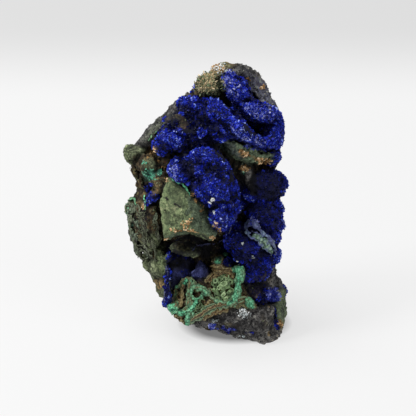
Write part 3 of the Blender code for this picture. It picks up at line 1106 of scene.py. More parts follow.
@dataclass(frozen=True)
class MineralColour:
    """One mineral's colours, from dark to light and to its flecks, and how they are laid out.

    Grains and clouds are sizes in millimetres, and lines is how strongly wavy growth lines show. Clouds and
    growth lines are noise of a detail and roughness of their own, hair cracks lie where another noise is near
    its middle, and flecks are single grains past a value.
    """

    GRAIN_SHARE = 0.4
    CLOUD_SHARE = 0.8
    CLOUD_NOISE = (5.0, 0.7)
    LINE_NOISE = (1.5, 0.4)
    LINE_SPREAD = 1.3
    LINE_HEIGHT = 0.5
    CRACK_NOISE = (6.0, 0.6)
    CRACK_SPREAD = 1.6
    CRACK_WIDTH = 0.008
    FLECK_SIZE = 1.3

    mineral: Mineral
    stops: tuple[tuple[float, str], ...]
    fleck: str
    grain: float
    cloud: float
    fleck_from: float = 0.85
    lines: float = 0.0
    line_count: float = 9.0
    veins: float = 0.0
    vein_shade: str = "#15140e"

    def colour(self, recipe: Recipe, place: bpy.types.NodeSocket) -> bpy.types.NodeSocket:
        """Clouds, grains and growth lines run through the colours, under hair cracks and single flecks.

        Args:
            recipe: the material that the colour is for.
            place: the rock's own coordinates.

        Returns:
            The colour.
        """
        node, maths = recipe.add, recipe.maths
        grain = node("TexVoronoi", place, inputs=grains(self.grain), output="Color")
        grain = maths("MULTIPLY", grain, self.GRAIN_SHARE)
        cloud = node("TexNoise", place, inputs=Cloud(self.cloud, *self.CLOUD_NOISE).inputs())
        value = maths("MULTIPLY_ADD", cloud, self.CLOUD_SHARE, grain)
        if self.lines:
            waves = Cloud(self.cloud * self.LINE_SPREAD, *self.LINE_NOISE).inputs()
            waves = maths("MULTIPLY", node("TexNoise", place, inputs=waves), self.line_count)
            waves = maths("PINGPONG", waves, self.LINE_HEIGHT)
            waves = maths("SUBTRACT", waves, self.LINE_HEIGHT / 2)
            value = maths("MULTIPLY_ADD", waves, self.lines / self.LINE_HEIGHT, value)
        base = node("ValToRGB", value, stops=self.stops)
        if self.veins:
            level = Cloud(self.cloud * self.CRACK_SPREAD, *self.CRACK_NOISE).inputs()
            level = maths("SUBTRACT", node("TexNoise", place, inputs=level), 0.5)
            level = maths("ABSOLUTE", level)
            crack = maths("LESS_THAN", level, self.CRACK_WIDTH)
            crack = maths("MULTIPLY", crack, self.veins)
            base = recipe.mix(crack, base, linear(self.vein_shade))
        fleck = node("TexVoronoi", place, inputs=grains(self.grain * self.FLECK_SIZE), output="Color")
        fleck = maths("GREATER_THAN", fleck, self.fleck_from)
        return recipe.mix(fleck, base, linear(self.fleck))


@dataclass(frozen=True)
class RockFinish:
    """Host rock: matt and granular, grey-brown, sage or tan, with painted shade where it is hollow."""

    colours: tuple[MineralColour, ...]
    roughness: float = 0.85
    specular: float = 0.25
    relief: float = 0.35
    fine: float = 0.7
    coarse: float = 1.1
    coarse_share: float = 0.6
    # How much painted shade the hollows take, and the colour it goes to.
    hollow_dark: float = 0.6
    hollow_shade: str = "#080912"

    def material(self) -> bpy.types.Material:
        """Each mineral's colour is laid over the ones before it, by the share that the mesh holds.

        Returns:
            The rock's material.
        """
        recipe = Recipe.named("host_rock")
        node, maths = recipe.add, recipe.maths
        place = node("TexCoord", output="Object")
        colour = linear(self.hollow_shade)
        for mineral in self.colours:
            share = node("Attribute", output="Fac", attribute_name=mineral.mineral.value)
            colour = recipe.mix(share, colour, mineral.colour(recipe, place))
        # Painted shade: the colour is pulled towards hollow_shade by how sunk the skin is.
        shade = node("Attribute", output="Fac", attribute_name="hollow")
        shade = maths("MULTIPLY", shade, self.hollow_dark)
        colour = recipe.mix(shade, colour, linear(self.hollow_shade))
        fine = node("TexNoise", place, inputs=Cloud(self.fine, rough=0.7).inputs())
        coarse = node("TexVoronoi", place, inputs=grains(self.coarse))
        height = maths("MULTIPLY_ADD", coarse, -self.coarse_share, fine)
        bump = node("Bump", inputs={"Height": height, "Distance": self.relief * MM, "Strength": 1.0})
        recipe.surface(Base_Color=colour, Roughness=self.roughness, Specular_IOR_Level=self.specular)
        recipe.surface(Normal=bump)
        return recipe.material


@dataclass(frozen=True)
class CrystalFinish:
    """Small grains that are all one mineral: each takes its own shade, from dark to light, which holds chance
    and painted shade.
    """

    name: str
    stops: tuple[tuple[float, str], ...]
    roughness: float
    specular: float
    cloud: float = 6.0
    cloud_share: float = 0.25

    def material(self) -> bpy.types.Material:
        """The grain's own shade and slow clouds run through the colours.

        Returns:
            The grains' material.
        """
        recipe = Recipe.named(self.name)
        node, maths = recipe.add, recipe.maths
        cloud = node("TexNoise", node("TexCoord", output="Object"), inputs=Cloud(self.cloud, 2.0).inputs())
        cloud = maths("SUBTRACT", cloud, 0.5)
        shade = node("Attribute", output="Fac", attribute_name="shade")
        value = maths("MULTIPLY_ADD", cloud, self.cloud_share * 2, shade)
        colour = node("ValToRGB", value, stops=self.stops)
        recipe.surface(Base_Color=colour, Roughness=self.roughness, Specular_IOR_Level=self.specular)
        return recipe.material


# ---- Small grains that are scattered over the rock


@dataclass(frozen=True)
class Grain:
    """A small closed shape, about a unit wide, that stands on its own z axis."""

    points: tuple[tuple[float, float, float], ...]
    faces: tuple[tuple[int, ...], ...]


WEDGE = Grain(((-0.5, -0.4, -0.4), (0.5, -0.4, -0.4), (0.5, 0.4, -0.4), (-0.5, 0.4, -0.4),
    (-0.42, 0.05, 0.6), (0.36, -0.05, 0.6)), ((3, 2, 1, 0), (0, 1, 5, 4), (2, 3, 4, 5), (1, 2, 5),
    (3, 0, 4)))
CHIP = Grain(((-0.55, -0.1, 0.0), (0.1, -0.5, -0.1), (0.5, 0.15, 0.1), (-0.15, 0.5, 0.05), (0.1, 0.05, 0.5),
    (0.0, 0.0, -0.5)), ((0, 1, 4), (1, 2, 4), (2, 3, 4), (3, 0, 4), (1, 0, 5), (2, 1, 5), (3, 2, 5),
    (0, 3, 5)))
NEEDLE = Grain(((-0.5, -0.5, -0.4), (0.5, -0.5, -0.4), (0.5, 0.5, -0.4), (-0.5, 0.5, -0.4),
    (-0.4, -0.4, 0.5), (0.4, -0.4, 0.5), (0.4, 0.4, 0.5), (-0.4, 0.4, 0.5), (0.0, 0.0, 0.7)), ((3, 2, 1, 0),
    (0, 1, 5, 4), (1, 2, 6, 5), (2, 3, 7, 6), (3, 0, 4, 7), (4, 5, 8), (5, 6, 8), (6, 7, 8), (7, 4, 8)))


def turned_upright(normals: np.ndarray, spins: np.ndarray) -> np.ndarray:
    """Matrices that carry z onto each normal, after a spin about z.

    Args:
        normals: the unit directions.
        spins: an angle for each.

    Returns:
        One 3 by 3 matrix for each, its columns the carried x, y and z axes.
    """
    helper = np.where(np.abs(normals[:, 2:]) < 0.8, (0.0, 0.0, 1.0), (1.0, 0.0, 0.0))
    side = np.cross(helper, normals)
    side /= np.linalg.norm(side, axis=1)[:, None]
    other = np.cross(normals, side)
    c, s = np.cos(spins)[:, None], np.sin(spins)[:, None]
    return np.stack([c * side + s * other, c * other - s * side, normals], axis=-1)


def copied(
    grain: Grain, places: np.ndarray, turns: np.ndarray, sizes: np.ndarray
) -> tuple[np.ndarray, list[list[int]]]:
    """Copies of a grain: each point is sized, turned and moved.

    Args:
        grain: the shape that is copied.
        places: where each copy's middle is.
        turns: a matrix for each copy.
        sizes: x, y and z sizes of each copy.

    Returns:
        The points of all the copies, and their faces.
    """
    pattern = np.array(grain.points)
    points = np.einsum("nij,nkj->nki", turns, pattern[None] * sizes[:, None]) + places[:, None]
    first = np.arange(len(places)) * len(pattern)
    faces = []
    for face in grain.faces:
        faces += (first[:, None] + np.array(face)).tolist()
    return points.reshape(-1, 3), faces


@dataclass(frozen=True)
class Scatter:
    """Grains of one kind, strewn over some minerals or some oval patches of the front.

    Sizes run from least to most, nearer the least the higher smallness is. With a clump, they stand in clumps
    of that size. Front is 1 for the front alone and -1 for the sides and the back. Grains are darker in
    hollows, as painted shade, and smaller and darker in the darkened patches that each piece is given.
    """

    # Grains grow where their minerals' share rises through this range.
    SHARES = (0.3, 0.7)
    # They stand on quads above this height, keep their points above that one, and face at least this far.
    FOOT = 0.8
    FLOOR = 0.05
    FACING = -0.2
    CLUMP_LAYERS = 2
    # The least and the most of a grain's width, thickness and height, in its own size.
    NARROWEST = (0.8, 0.55, 0.7)
    WIDEST = (1.3, 0.9, 1.2)
    # The darkest and the lightest a grain is by chance, and what a darkened patch takes off.
    SHADES = (0.15, 1.0)
    DARKENED_SHADE = 0.6
    DARKENED_SIZE = 0.3

    name: str
    grain: Grain
    finish: CrystalFinish
    count: int
    least: float
    most: float
    height: float = 1.0
    tilt: float = 0.35
    seed: int = 1
    minerals: tuple[Mineral, ...] = ()
    spots: tuple[Spot, ...] = ()
    smallness: float = 2.2
    clump: float = 0.0
    bareness: float = 0.0
    front: float | None = None
    lift: float = 0.0
    # How much painted shade a grain takes in a hollow.
    hollow_dark: float = 0.62
    darkened: tuple[Spot, ...] = ()

    def chances(self, surface: Surface) -> np.ndarray:
        """How likely each quad is to be picked: its area, times its share of the minerals or patches.

        Args:
            surface: the rock's skin.

        Returns:
            A chance for each quad, which sum to 1.
        """
        chance = np.linalg.norm(diagonal_cross(surface.points, surface.quads), axis=1) / 2
        if self.minerals:
            share = sum(surface.quad_values(surface.weights[mineral]) for mineral in self.minerals)
            chance *= smoothstep(share, *self.SHARES)
        if self.spots:
            chance *= surface.quad_values(surface.ovals(self.spots))
        centres = surface.quad_values(surface.points)
        chance *= centres[:, 2] > self.FOOT
        if self.clump:
            clumps = layered_noise(centres, self.clump, self.CLUMP_LAYERS, self.seed)
            chance *= smoothstep(clumps, self.bareness - 0.5, self.bareness)
        if self.front is not None:
            chance *= (surface.quad_normals() @ FACE.axes()[:, 2]) * self.front > self.FACING
        return chance / chance.sum()

    def build(self, surface: Surface) -> bpy.types.Object:
        """Stands a grain on each picked quad, leaning and spun at random.

        Args:
            surface: the rock's skin.

        Returns:
            The grains' object.
        """
        dice = np.random.default_rng(self.seed)
        picked = dice.choice(len(surface.quads), self.count, p=self.chances(surface))
        weights = dice.dirichlet((1, 1, 1, 1), self.count)
        places = np.einsum("nk,nkj->nj", weights, surface.points[surface.quads[picked]])
        normals = surface.quad_normals()[picked] + dice.normal(0, self.tilt, (self.count, 3))
        normals /= np.linalg.norm(normals, axis=1)[:, None]
        places += self.lift * normals
        turns = turned_upright(normals, dice.uniform(0, 2 * np.pi, self.count))
        darkened = surface.quad_values(surface.ovals(self.darkened))[picked] if self.darkened else 0.0
        size = self.least + (self.most - self.least) * dice.random(self.count) ** self.smallness
        size = size * (1 - self.DARKENED_SIZE * darkened)
        tall = np.array((1, 1, self.height))
        spread = dice.uniform(self.NARROWEST * tall, self.WIDEST * tall, (self.count, 3))
        points, faces = copied(self.grain, places, turns, size[:, None] * spread)
        points[:, 2] = np.maximum(points[:, 2], self.FLOOR)
        # Painted shade in hollows, and the darkened patches, lower each grain's shade.
        hollow = surface.quad_values(surface.hollow)[picked]
        darkest, lightest = self.SHADES
        shade = dice.random(self.count) * (lightest - darkest) + darkest
        shade = shade - self.hollow_dark * hollow - self.DARKENED_SHADE * darkened
        shade = np.repeat(np.clip(shade, 0, 1), len(self.grain.points))
        return make_mesh(self.name, points, faces, {"shade": shade}, False, self.finish.material())


def wrapped_quads(rows: int, columns: int) -> np.ndarray:
    """The quads of a grid whose last column joins its first.

    Args:
        rows: how many rows of points there are.
        columns: how many points a row has.

    Returns:
        The points of each quad.
    """
    index = np.arange(rows * columns).reshape(rows, columns)
    ahead = np.roll(index, -1, axis=1)
    quads = np.stack([index[:-1], ahead[:-1], ahead[1:], index[1:]], axis=-1)
    return quads.reshape(-1, 4)


# ---- Malachite: curls that are fused in sheets


@dataclass(frozen=True)
class BandFinish:
    """Banded malachite: growth rings run along each curl in the stripe colours, and some curls are plain.

    Noise unsettles the rings by wander, and turns patches plain. Where a curl is plain it is lightest along
    its middle and darker to its edges, a painted highlight and painted shade on the round roll. Painted shade
    also darkens each curl's edge and the cracks between its grains, and noise adds uneven dark patches.
    """

    # The plain colour's place in its ramp at a curl's middle, how far it falls to the edge as painted shade,
    # and its noise.
    PLAIN_MIDDLE = 0.8
    PLAIN_FALL = 0.55
    PLAIN_NOISE = 1.6
    PATCH_HEIGHT = 2.4
    # How steeply painted shade sets in towards the edge, how uneven the darkening is, and its most.
    EDGE_SHADE_POWER = 5.0
    DIRT_AND_SHADE_NOISE = 0.6
    DIRT_AND_SHADE_MOST = 0.9
    # The depth of the bumps, in millimetres, and their noise.
    BUMP_DEPTH = 0.2
    BUMP_NOISE = Cloud(0.5, 4.0)
    RING_NOISE = Cloud(1.0, 4.0, 0.7)
    PATCH_NOISE = Cloud(1.5)

    name: str
    stripes: tuple[tuple[float, str], ...]
    plain: tuple[tuple[float, str], ...]
    # The dark colour of the painted shade at edges and cracks, and of the uneven dark patches.
    gap: str = "#1c150c"
    wander: float = 0.5
    roughness: float = 0.55
    specular: float = 0.3

    def material(self) -> bpy.types.Material:
        """The ring number, moved a little by noise, picks the stripe; a curl's edge and cracks are darkened
        as painted shade.

        Returns:
            The curls' material.
        """
        recipe = Recipe.named(self.name)
        node, maths = recipe.add, recipe.maths
        place = node("TexCoord", output="Object")
        names = ("band", "tone", "edge")
        band, tone, edge = (node("Attribute", output="Fac", attribute_name=name) for name in names)
        noise, patch = (
            maths("SUBTRACT", node("TexNoise", place, inputs=cloud.inputs()), 0.5)
            for cloud in (self.RING_NOISE, self.PATCH_NOISE)
        )
        ring = maths("MULTIPLY_ADD", noise, self.wander, band)
        striped = node("ValToRGB", maths("PINGPONG", ring, 1.0), stops=self.stripes)
        # Painted highlight and shade: a plain curl is lightest along its middle and darker towards its edge.
        height = maths("MULTIPLY_ADD", edge, -self.PLAIN_FALL, self.PLAIN_MIDDLE)
        height = maths("MULTIPLY_ADD", noise, self.PLAIN_NOISE, height)
        plain = node("ValToRGB", height, stops=self.plain)
        tone = maths("MULTIPLY_ADD", patch, self.PATCH_HEIGHT, tone, use_clamp=True)
        colour = recipe.mix(tone, striped, plain)
        # Painted shade at each curl's edge and in the cracks between its grains, made uneven by noise.
        dirt_and_edge_shade = maths("POWER", edge, self.EDGE_SHADE_POWER)
        dirt_and_edge_shade = maths("MULTIPLY_ADD", noise, self.DIRT_AND_SHADE_NOISE, dirt_and_edge_shade, use_clamp=True)
        dirt_and_edge_shade = maths("MINIMUM", dirt_and_edge_shade, self.DIRT_AND_SHADE_MOST)
        colour = recipe.mix(dirt_and_edge_shade, colour, linear(self.gap))
        height = node("TexNoise", place, inputs=self.BUMP_NOISE.inputs())
        bump = node("Bump", inputs={"Height": height, "Distance": self.BUMP_DEPTH * MM, "Strength": 1.0})
        recipe.surface(Base_Color=colour, Roughness=self.roughness, Specular_IOR_Level=self.specular)
        recipe.surface(Normal=bump)
        return recipe.material


@dataclass(frozen=True)
class Curl:
    """A roll on the front: its path, across and up as seen, its half width, and how high it bulges.

    Low is how far its foot stands off the rock, and rings is how many growth rings lie between its middle
    line and its edge. Tone runs from striped, 0, to plain, 1. The path is smoothed in STEPS between corners.
    """

    STEPS = 5

    path: tuple[tuple[float, float], ...]
    wide: float
    high: float = 1.0
    low: float = 0.0
    tone: float = 0.0
    rings: float = 1.0

    def reach(self, spots: np.ndarray) -> np.ndarray:
        """The distance from each spot to the path, in half widths."""
        return path_gap(spots, smooth_path(np.array(self.path, float), self.STEPS)) / self.wide


@dataclass(frozen=True)
class CurlSheet:
    """Curls that are fused in one sheet, with walls at its rims and an underside inside the rock.

    Wander is how far the curls stray from their paths, grain is how rough they are, fatness how uneven their
    widths, and broken how deep the cracks between their grains are. Sizes are in millimetres.
    """

    # Shares, sizes and seeds of the noise that moves the curls, and of the noise in their widths.
    STRAYING = ((1.0, 1.1, 31), (0.4, 0.45, 33))
    FATTENING = ((1.0, 1.6, 41), (0.5, 0.7, 42))
    # The size, layers and seed of the roughness, and the size and seed of the grains between cracks.
    ROUGHNESS = (0.9, 3, 35)
    GRAINS = (1.25, 36)
    # A crack's width, and how strongly the finish darkens it as painted shade.
    CRACK_WIDTH = 0.3
    CRACK_DARKNESS = 2.6
    # How high the growth rings stand, in bulge heights, and how much each curl's rings are moved on.
    RING_HEIGHT = 0.12
    RING_STEP = 0.37
    # Room around the curls, and the height where there is none.
    ROOM = 0.5
    ABSENT = -99.0

    name: str
    curls: tuple[Curl, ...]
    finish: BandFinish
    pitch: float = 0.17
    depth: float = 1.8
    wander: float = 0.34
    grain: float = 0.24
    fatness: float = 0.34
    broken: float = 0.35

    def spots(self) -> tuple[np.ndarray, tuple[int, int]]:
        """A grid of spots that covers every curl, and how many rows and columns it has."""
        low = np.min([np.min(curl.path, axis=0) - curl.wide for curl in self.curls], axis=0) - self.ROOM
        high = np.max([np.max(curl.path, axis=0) + curl.wide for curl in self.curls], axis=0) + self.ROOM
        ticks = [np.arange(a, b, self.pitch) for a, b in zip(low, high)]
        grid = np.stack(np.meshgrid(*ticks, indexing="ij"), axis=-1)
        return grid.reshape(-1, 2), grid.shape[:2]

    def relief(self, spots: np.ndarray) -> tuple[np.ndarray, dict[str, np.ndarray]]:
        """The height at each spot, low + high * sqrt(1 - r^2) of the curl that stands highest there.

        Here r is the distance to the curl's path in half widths, and its rings add a small cosine of r.
        Cracks between grains cut across the curls.

        Args:
            spots: across and up of each spot.

        Returns:
            The heights, far below the rock where there is no curl, and the material's numbers.
        """
        flat = np.column_stack([spots, np.zeros(len(spots))])
        moved = spots
        for share, size, seed in self.STRAYING:
            noise = np.column_stack([soft_noise(flat, size, seed), soft_noise(flat, size, seed + 1)])
            moved = moved + share * self.wander * noise
        uneven = 1
        for share, size, seed in self.FATTENING:
            uneven = uneven + share * self.fatness * soft_noise(flat, size, seed)
        height = np.full(len(spots), self.ABSENT)
        values = {key: np.zeros(len(spots)) for key in ("band", "tone", "edge")}
        for number, curl in enumerate(self.curls):
            reach = curl.reach(moved) / uneven
            rise = curl.low + curl.high * np.sqrt(np.maximum(1 - reach**2, 0))
            rise += self.RING_HEIGHT * curl.high * np.cos(2 * np.pi * curl.rings * reach)
            wins = (reach < 1) & (rise > height)
            height[wins] = rise[wins]
            values["band"][wins] = 2 * curl.rings * reach[wins] + self.RING_STEP * number
            values["tone"][wins] = curl.tone
            values["edge"][wins] = reach[wins]
        nearest, second = cell_noise(flat, *self.GRAINS)
        crack = 1 - smoothstep(second - nearest, 0.0, self.CRACK_WIDTH)
        height += self.grain * layered_noise(flat, *self.ROUGHNESS) - self.broken * crack
        # Painted shade: cracks count as edges, which the finish darkens.
        values["edge"] = np.maximum(values["edge"], crack * min(1.0, self.CRACK_DARKNESS * self.broken))
        return height, values

    def build(self, surface: Surface) -> bpy.types.Object:
        """Lays the sheet on the rock's front, keeps the squares that curls cover, and closes its rims.

        Args:
            surface: the rock's skin.

        Returns:
            The sheet's object.
        """
        spots, (rows, columns) = self.spots()
        height, values = self.relief(spots)
        index = np.arange(rows * columns).reshape(rows, columns)
        quads = np.stack([index[:-1, :-1], index[1:, :-1], index[1:, 1:], index[:-1, 1:]], axis=-1)
        quads = quads.reshape(-1, 4)
        quads = quads[(height[quads] > self.ABSENT / 2).all(axis=1)]
        used, quads = np.unique(quads, return_inverse=True)
        quads = quads.reshape(-1, 4)
        front = surface.front(spots[used])
        top = FACE.placed_as_seen(np.column_stack([spots[used], front + height[used]]))
        under = FACE.placed_as_seen(np.column_stack([spots[used], front - self.depth]))
        edges = np.vstack([quads[:, [i, (i + 1) % 4]] for i in range(4)])
        codes = edges[:, 0] * len(used) + edges[:, 1]
        rim = edges[~np.isin(codes, edges[:, 1] * len(used) + edges[:, 0])]
        walls = np.column_stack([rim[:, 1], rim[:, 0], rim[:, 0] + len(used), rim[:, 1] + len(used)])
        faces = np.vstack([quads, quads[:, ::-1] + len(used), walls])
        attributes = {key: np.tile(value[used], 2) for key, value in values.items()}
        points = np.vstack([top, under])
        return make_mesh(self.name, points, faces, attributes, True, self.finish.material())


def arc_grain(sweep: float, thick: float, rows: int, columns: int) -> Grain:
    """A bent roll, half a unit in radius: circles of the half thickness carried along an arc.

    It is a full ring where it sweeps a whole turn, and else has closed ends.

    Args:
        sweep: how far it bends, in degrees.
        thick: its half thickness.
        rows: how many profiles there are along it.
        columns: how many points a profile has.

    Returns:
        The roll as a grain that lies flat and faces up.
    """
    full = sweep >= 360
    along = np.radians(np.linspace(0, sweep, rows, endpoint=not full))[:, None]
    angle = np.linspace(0, 2 * np.pi, columns, endpoint=False)[None, :]
    reach = 0.5 + thick * np.cos(angle)
    lift = thick * np.sin(angle) + 0 * along
    rings = np.stack([reach * np.cos(along), reach * np.sin(along), lift], axis=-1)
    faces = wrapped_quads(rows, columns)[:, ::-1].tolist()
    last = (rows - 1) * columns
    if full:
        for i in range(columns):
            j = (i + 1) % columns
            faces.append([i, j, last + j, last + i])
    else:
        faces.append(list(range(columns)))
        faces.append(list(range(last + columns - 1, last - 1, -1)))
    return Grain(tuple(map(tuple, rings.reshape(-1, 3))), tuple(map(tuple, faces)))


# ---- The studio


@dataclass(frozen=True)
class Lamp:
    """A square soft lamp that points at the specimen's middle, in metres."""

    AIM = (0, 0, 0.05)

    name: str
    place: tuple[float, float, float]
    size: float
    power: float
    colour: str = "#ffffff"

    def build(self) -> None:
        """Hangs the lamp and aims it at the specimen's middle."""
        light = bpy.data.lights.new(self.name, "AREA")
        light.shape = "SQUARE"
        light.size = self.size
        light.energy = self.power
        light.color = linear(self.colour)[:3]
        lamp = bpy.data.objects.new(self.name, light)
        lamp.location = self.place
        aim = Vector(self.AIM) - lamp.location
        lamp.rotation_euler = aim.to_track_quat("-Z", "Y").to_euler()
        bpy.context.scene.collection.objects.link(lamp)


@dataclass(frozen=True)
class Studio:
    """A pale round table that turns up at its rim, soft lamps, and the camera. Lengths are in metres.

    The table glows evenly, because pale paper lit from all around would. The glow falls off towards the back,
    as painted shade, and nearly goes in an oval under the specimen: a painted contact shadow, where its foot
    keeps the light away.
    """

    # The table's rings and spokes, where its rim begins to rise as a share of its radius, and how fast.
    FLOOR_GRID = (24, 64)
    RIM_FROM = 0.75
    RIM_RISE = 6000
    # How far back the glow falls off as painted shade, from where to where, and to what share.
    FAR = (0.2, 0.3)
    FAR_SHARE = 0.77
    # The painted contact shadow: the oval's middle and half sizes across and back, where the glow returns,
    # and the least of it.
    CONTACT_MIDDLE = (0.011, -0.0015)
    CONTACT_SIZES = (0.019, 0.015)
    CONTACT_RIM = (0.8, 1.12)
    CONTACT_LEAST = 0.25
    # The picture's width in pixels, each of which is this many millimetres at the specimen.
    PICTURE = 416

    lamps: tuple[Lamp, ...]
    sky: str = "#ffffff"
    sky_strength: float = 0.5
    floor: str = "#727272"
    floor_glow: float = 0.69
    floor_radius: float = 1.6
    distance: float = 0.8
    pixel: float = 0.36
    sensor: float = 36.0
    clip_start: float = 0.01

    def build(self) -> None:
        """Builds the floor, the lamps, the sky and the camera."""
        self.build_floor()
        for lamp in self.lamps:
            lamp.build()
        world = bpy.data.worlds.new("sky")
        world.use_nodes = True
        background = world.node_tree.nodes["Background"]
        background.inputs["Color"].default_value = linear(self.sky)
        background.inputs["Strength"].default_value = self.sky_strength
        bpy.context.scene.world = world
        bpy.context.scene.view_settings.view_transform = "Standard"
        self.build_camera()

    def build_floor(self) -> None:
        """A disc from its middle outward: height 0, then rising as the cube of the last quarter."""
        rings, spokes = self.FLOOR_GRID
        radius = np.linspace(1, 0, rings, endpoint=False)[::-1] * self.floor_radius / MM
        angle = np.linspace(0, 2 * np.pi, spokes, endpoint=False)
        lift = np.maximum(radius * MM / self.floor_radius - self.RIM_FROM, 0) ** 3 * self.RIM_RISE
        x = radius[:, None] * np.cos(angle)
        y = radius[:, None] * np.sin(angle)
        points = np.stack([x, y, lift[:, None] + 0 * x], axis=-1).reshape(-1, 3)
        faces = wrapped_quads(rings, spokes).tolist() + [list(range(spokes))]
        mesh = bpy.data.meshes.new("table")
        mesh.from_pydata(points * MM, [], faces)
        table = bpy.data.objects.new("table", mesh)
        bpy.context.scene.collection.objects.link(table)
        mesh.materials.append(self.floor_material())

    def floor_material(self) -> bpy.types.Material:
        """Matt pale paper: its glow is multiplied by the painted fall-off and by a ramp of the oval's radius,
        the painted contact shadow.

        Returns:
            The table's material.
        """
        recipe = Recipe.named("lit_paper")
        node, maths = recipe.add, recipe.maths
        place = node("TexCoord", output="Object")
        across, back = (node("SeparateXYZ", place, output=axis) for axis in "XY")
        start, end = self.FAR
        reach = {"Value": back, "From Min": start, "From Max": end, "To Min": 1.0, "To Max": self.FAR_SHARE}
        far = node("MapRange", inputs=reach, interpolation_type="SMOOTHSTEP")
        squares = []
        for along, middle, size in zip((across, back), self.CONTACT_MIDDLE, self.CONTACT_SIZES):
            offset = maths("DIVIDE", maths("SUBTRACT", along, middle), size)
            squares.append(maths("POWER", offset, 2.0))
        radius = maths("SQRT", maths("ADD", *squares))
        start, end = self.CONTACT_RIM
        reach = {"Value": radius, "From Min": start, "From Max": end, "To Min": self.CONTACT_LEAST}
        glow = maths("MULTIPLY", far, self.floor_glow)
        glow = maths("MULTIPLY", glow, node("MapRange", inputs=reach))
        recipe.surface(Base_Color=linear(self.floor), Roughness=0.9, Specular_IOR_Level=0.1)
        recipe.surface(Emission_Color=linear("#ffffff"), Emission_Strength=glow)
        return recipe.material

    def build_camera(self) -> None:
        """A long lens square to the display face, from in front and above."""
        camera = bpy.data.cameras.new("camera")
        camera.sensor_width = self.sensor
        view_width = self.PICTURE * self.pixel * MM
        camera.lens = self.sensor * self.distance / view_width
        camera.clip_start = self.clip_start
        lean = math.radians(FACE.lean_deg)
        middle = Vector(FACE.middle() * MM)
        holder = bpy.data.objects.new("camera", camera)
        holder.location = middle + self.distance * Vector((0, -math.cos(lean), math.sin(lean)))
        holder.rotation_euler = (middle - holder.location).to_track_quat("-Z", "Y").to_euler()
        bpy.context.scene.collection.objects.link(holder)
        bpy.context.scene.camera = holder


# ---- The specimen's own shapes

BODY_CORE = Body("body_core", ((-3, -6, 24, -10, 13), (4, -12, 25, -12, 15), (12, -16, 25, -12, 16),
    (20, -19, 24, -8, 17), (30, -22, 24, -6, 18), (40, -24, 24, -7, 17), (50, -25, 24, -9, 16),
    (60, -25, 24, -9, 15), (69, -23, 24, -7, 14), (78, -16, 23, -3, 13), (87, -7, 18, 1, 11),
    (93, 0, 14, 3, 10), (96, 5, 11, 4, 8)))

# Ellipsoids on the display face: across, up, out, half sizes the same way, and a turn in the face.
AZURITE_KNOBS = (
    Knob("crown_ridge_top", 7.2, 44.4, 18.5, 4.2, 3.4, 6.0, -35),
    Knob("crown_ridge", 11.8, 40.6, 20.5, 6.6, 3.8, 6.0, -43),
    Knob("crown_left", -3.8, 35.6, 18.5, 6.4, 3.8, 6.0, 14),
    Knob("crown_middle", 1.8, 33.4, 20.5, 6.5, 4.6, 6.0, -20),
    Knob("crown_arc", 17.5, 34.2, 18.0, 8.5, 3.6, 7.0, -22),
    Knob("crown_arc_end", 22.8, 26.8, 14.5, 3.4, 6.6, 7.0, -4),
    Knob("hollow_floor", 17.0, 29.0, 12.0, 7.0, 4.0, 7.0, -10),
    Knob("hollow_lip", 9.5, 28.2, 21.0, 8.5, 3.6, 7.0, -38),
    Knob("hollow_lip_end", 18.5, 23.6, 17.0, 7.5, 3.2, 7.0, -12),
    Knob("crown_neck", 4.0, 26.4, 19.5, 5.5, 5.0, 7.0, 0),
    Knob("shoulder_top", -8.0, 30.4, 18.5, 6.2, 4.0, 6.0, 20),
    Knob("shoulder", -10.8, 24.6, 19.0, 8.8, 5.2, 7.0, 12),
    Knob("shoulder_right", -3.6, 25.2, 20.0, 5.2, 5.4, 6.0, -35),
    Knob("shoulder_left", -15.4, 21.8, 17.0, 3.4, 3.2, 5.0, 0),
    Knob("shoulder_bud", -13.6, 29.8, 17.0, 2.2, 2.2, 3.0, 0),
    Knob("brow_top", -1.6, 15.6, 22.5, 8.0, 6.0, 7.5, -15),
    Knob("brow_left", -7.6, 12.0, 21.6, 6.0, 4.6, 6.0, -35),
    Knob("brow_middle", 2.4, 8.4, 23.0, 7.2, 7.8, 7.5, 0),
    Knob("brow_right", 6.2, 3.2, 20.5, 3.8, 8.8, 7.0, 12),
    Knob("brow_tip", 4.9, -2.0, 20.5, 4.4, 6.4, 6.5, 6),
    Knob("right_bulge", 20.4, 8.6, 10.5, 7.0, 5.4, 7.0, 0),
    Knob("right_bulge_low", 20.6, 5.4, 9.5, 4.8, 3.2, 6.0, 0),
    Knob("right_waist", 20.0, -2.2, 10.0, 6.4, 5.4, 8.0, 0),
    Knob("right_hip", 20.0, -8.6, 8.0, 5.6, 5.4, 8.0, 0),
    Knob("chest", 13.0, -12.6, 9.0, 7.5, 6.6, 8.0, 0),
    Knob("chest_right", 18.8, -17.4, 6.0, 5.8, 6.2, 7.5, 0),
    Knob("chest_low", 15.5, -22.0, 4.0, 5.4, 4.6, 7.0, 0),
    Knob("recess_back", -10.5, -20.5, -4.5, 6.0, 8.5, 6.0, 0),
    Knob("ledge_end", 23.4, 18.6, 12.0, 2.6, 3.6, 6.0, 0),
    Knob("gully_floor", 14.0, 6.0, 9.0, 5.0, 7.0, 6.0, 0),
    Knob("foot_bud", 23.4, -31.4, -3.6, 3.8, 3.4, 5.0, 0),
    Knob("foot_inner", 17.0, -28.6, 0.0, 6.0, 6.0, 6.0, 0),
)
TAN_KNOBS = (
    Knob("summit_left", 4.4, 48.3, 14.5, 4.6, 3.0, 5.8, 6),
    Knob("needle_dome", 0.6, 43.6, 18.6, 5.6, 4.6, 6.4, 10),
)
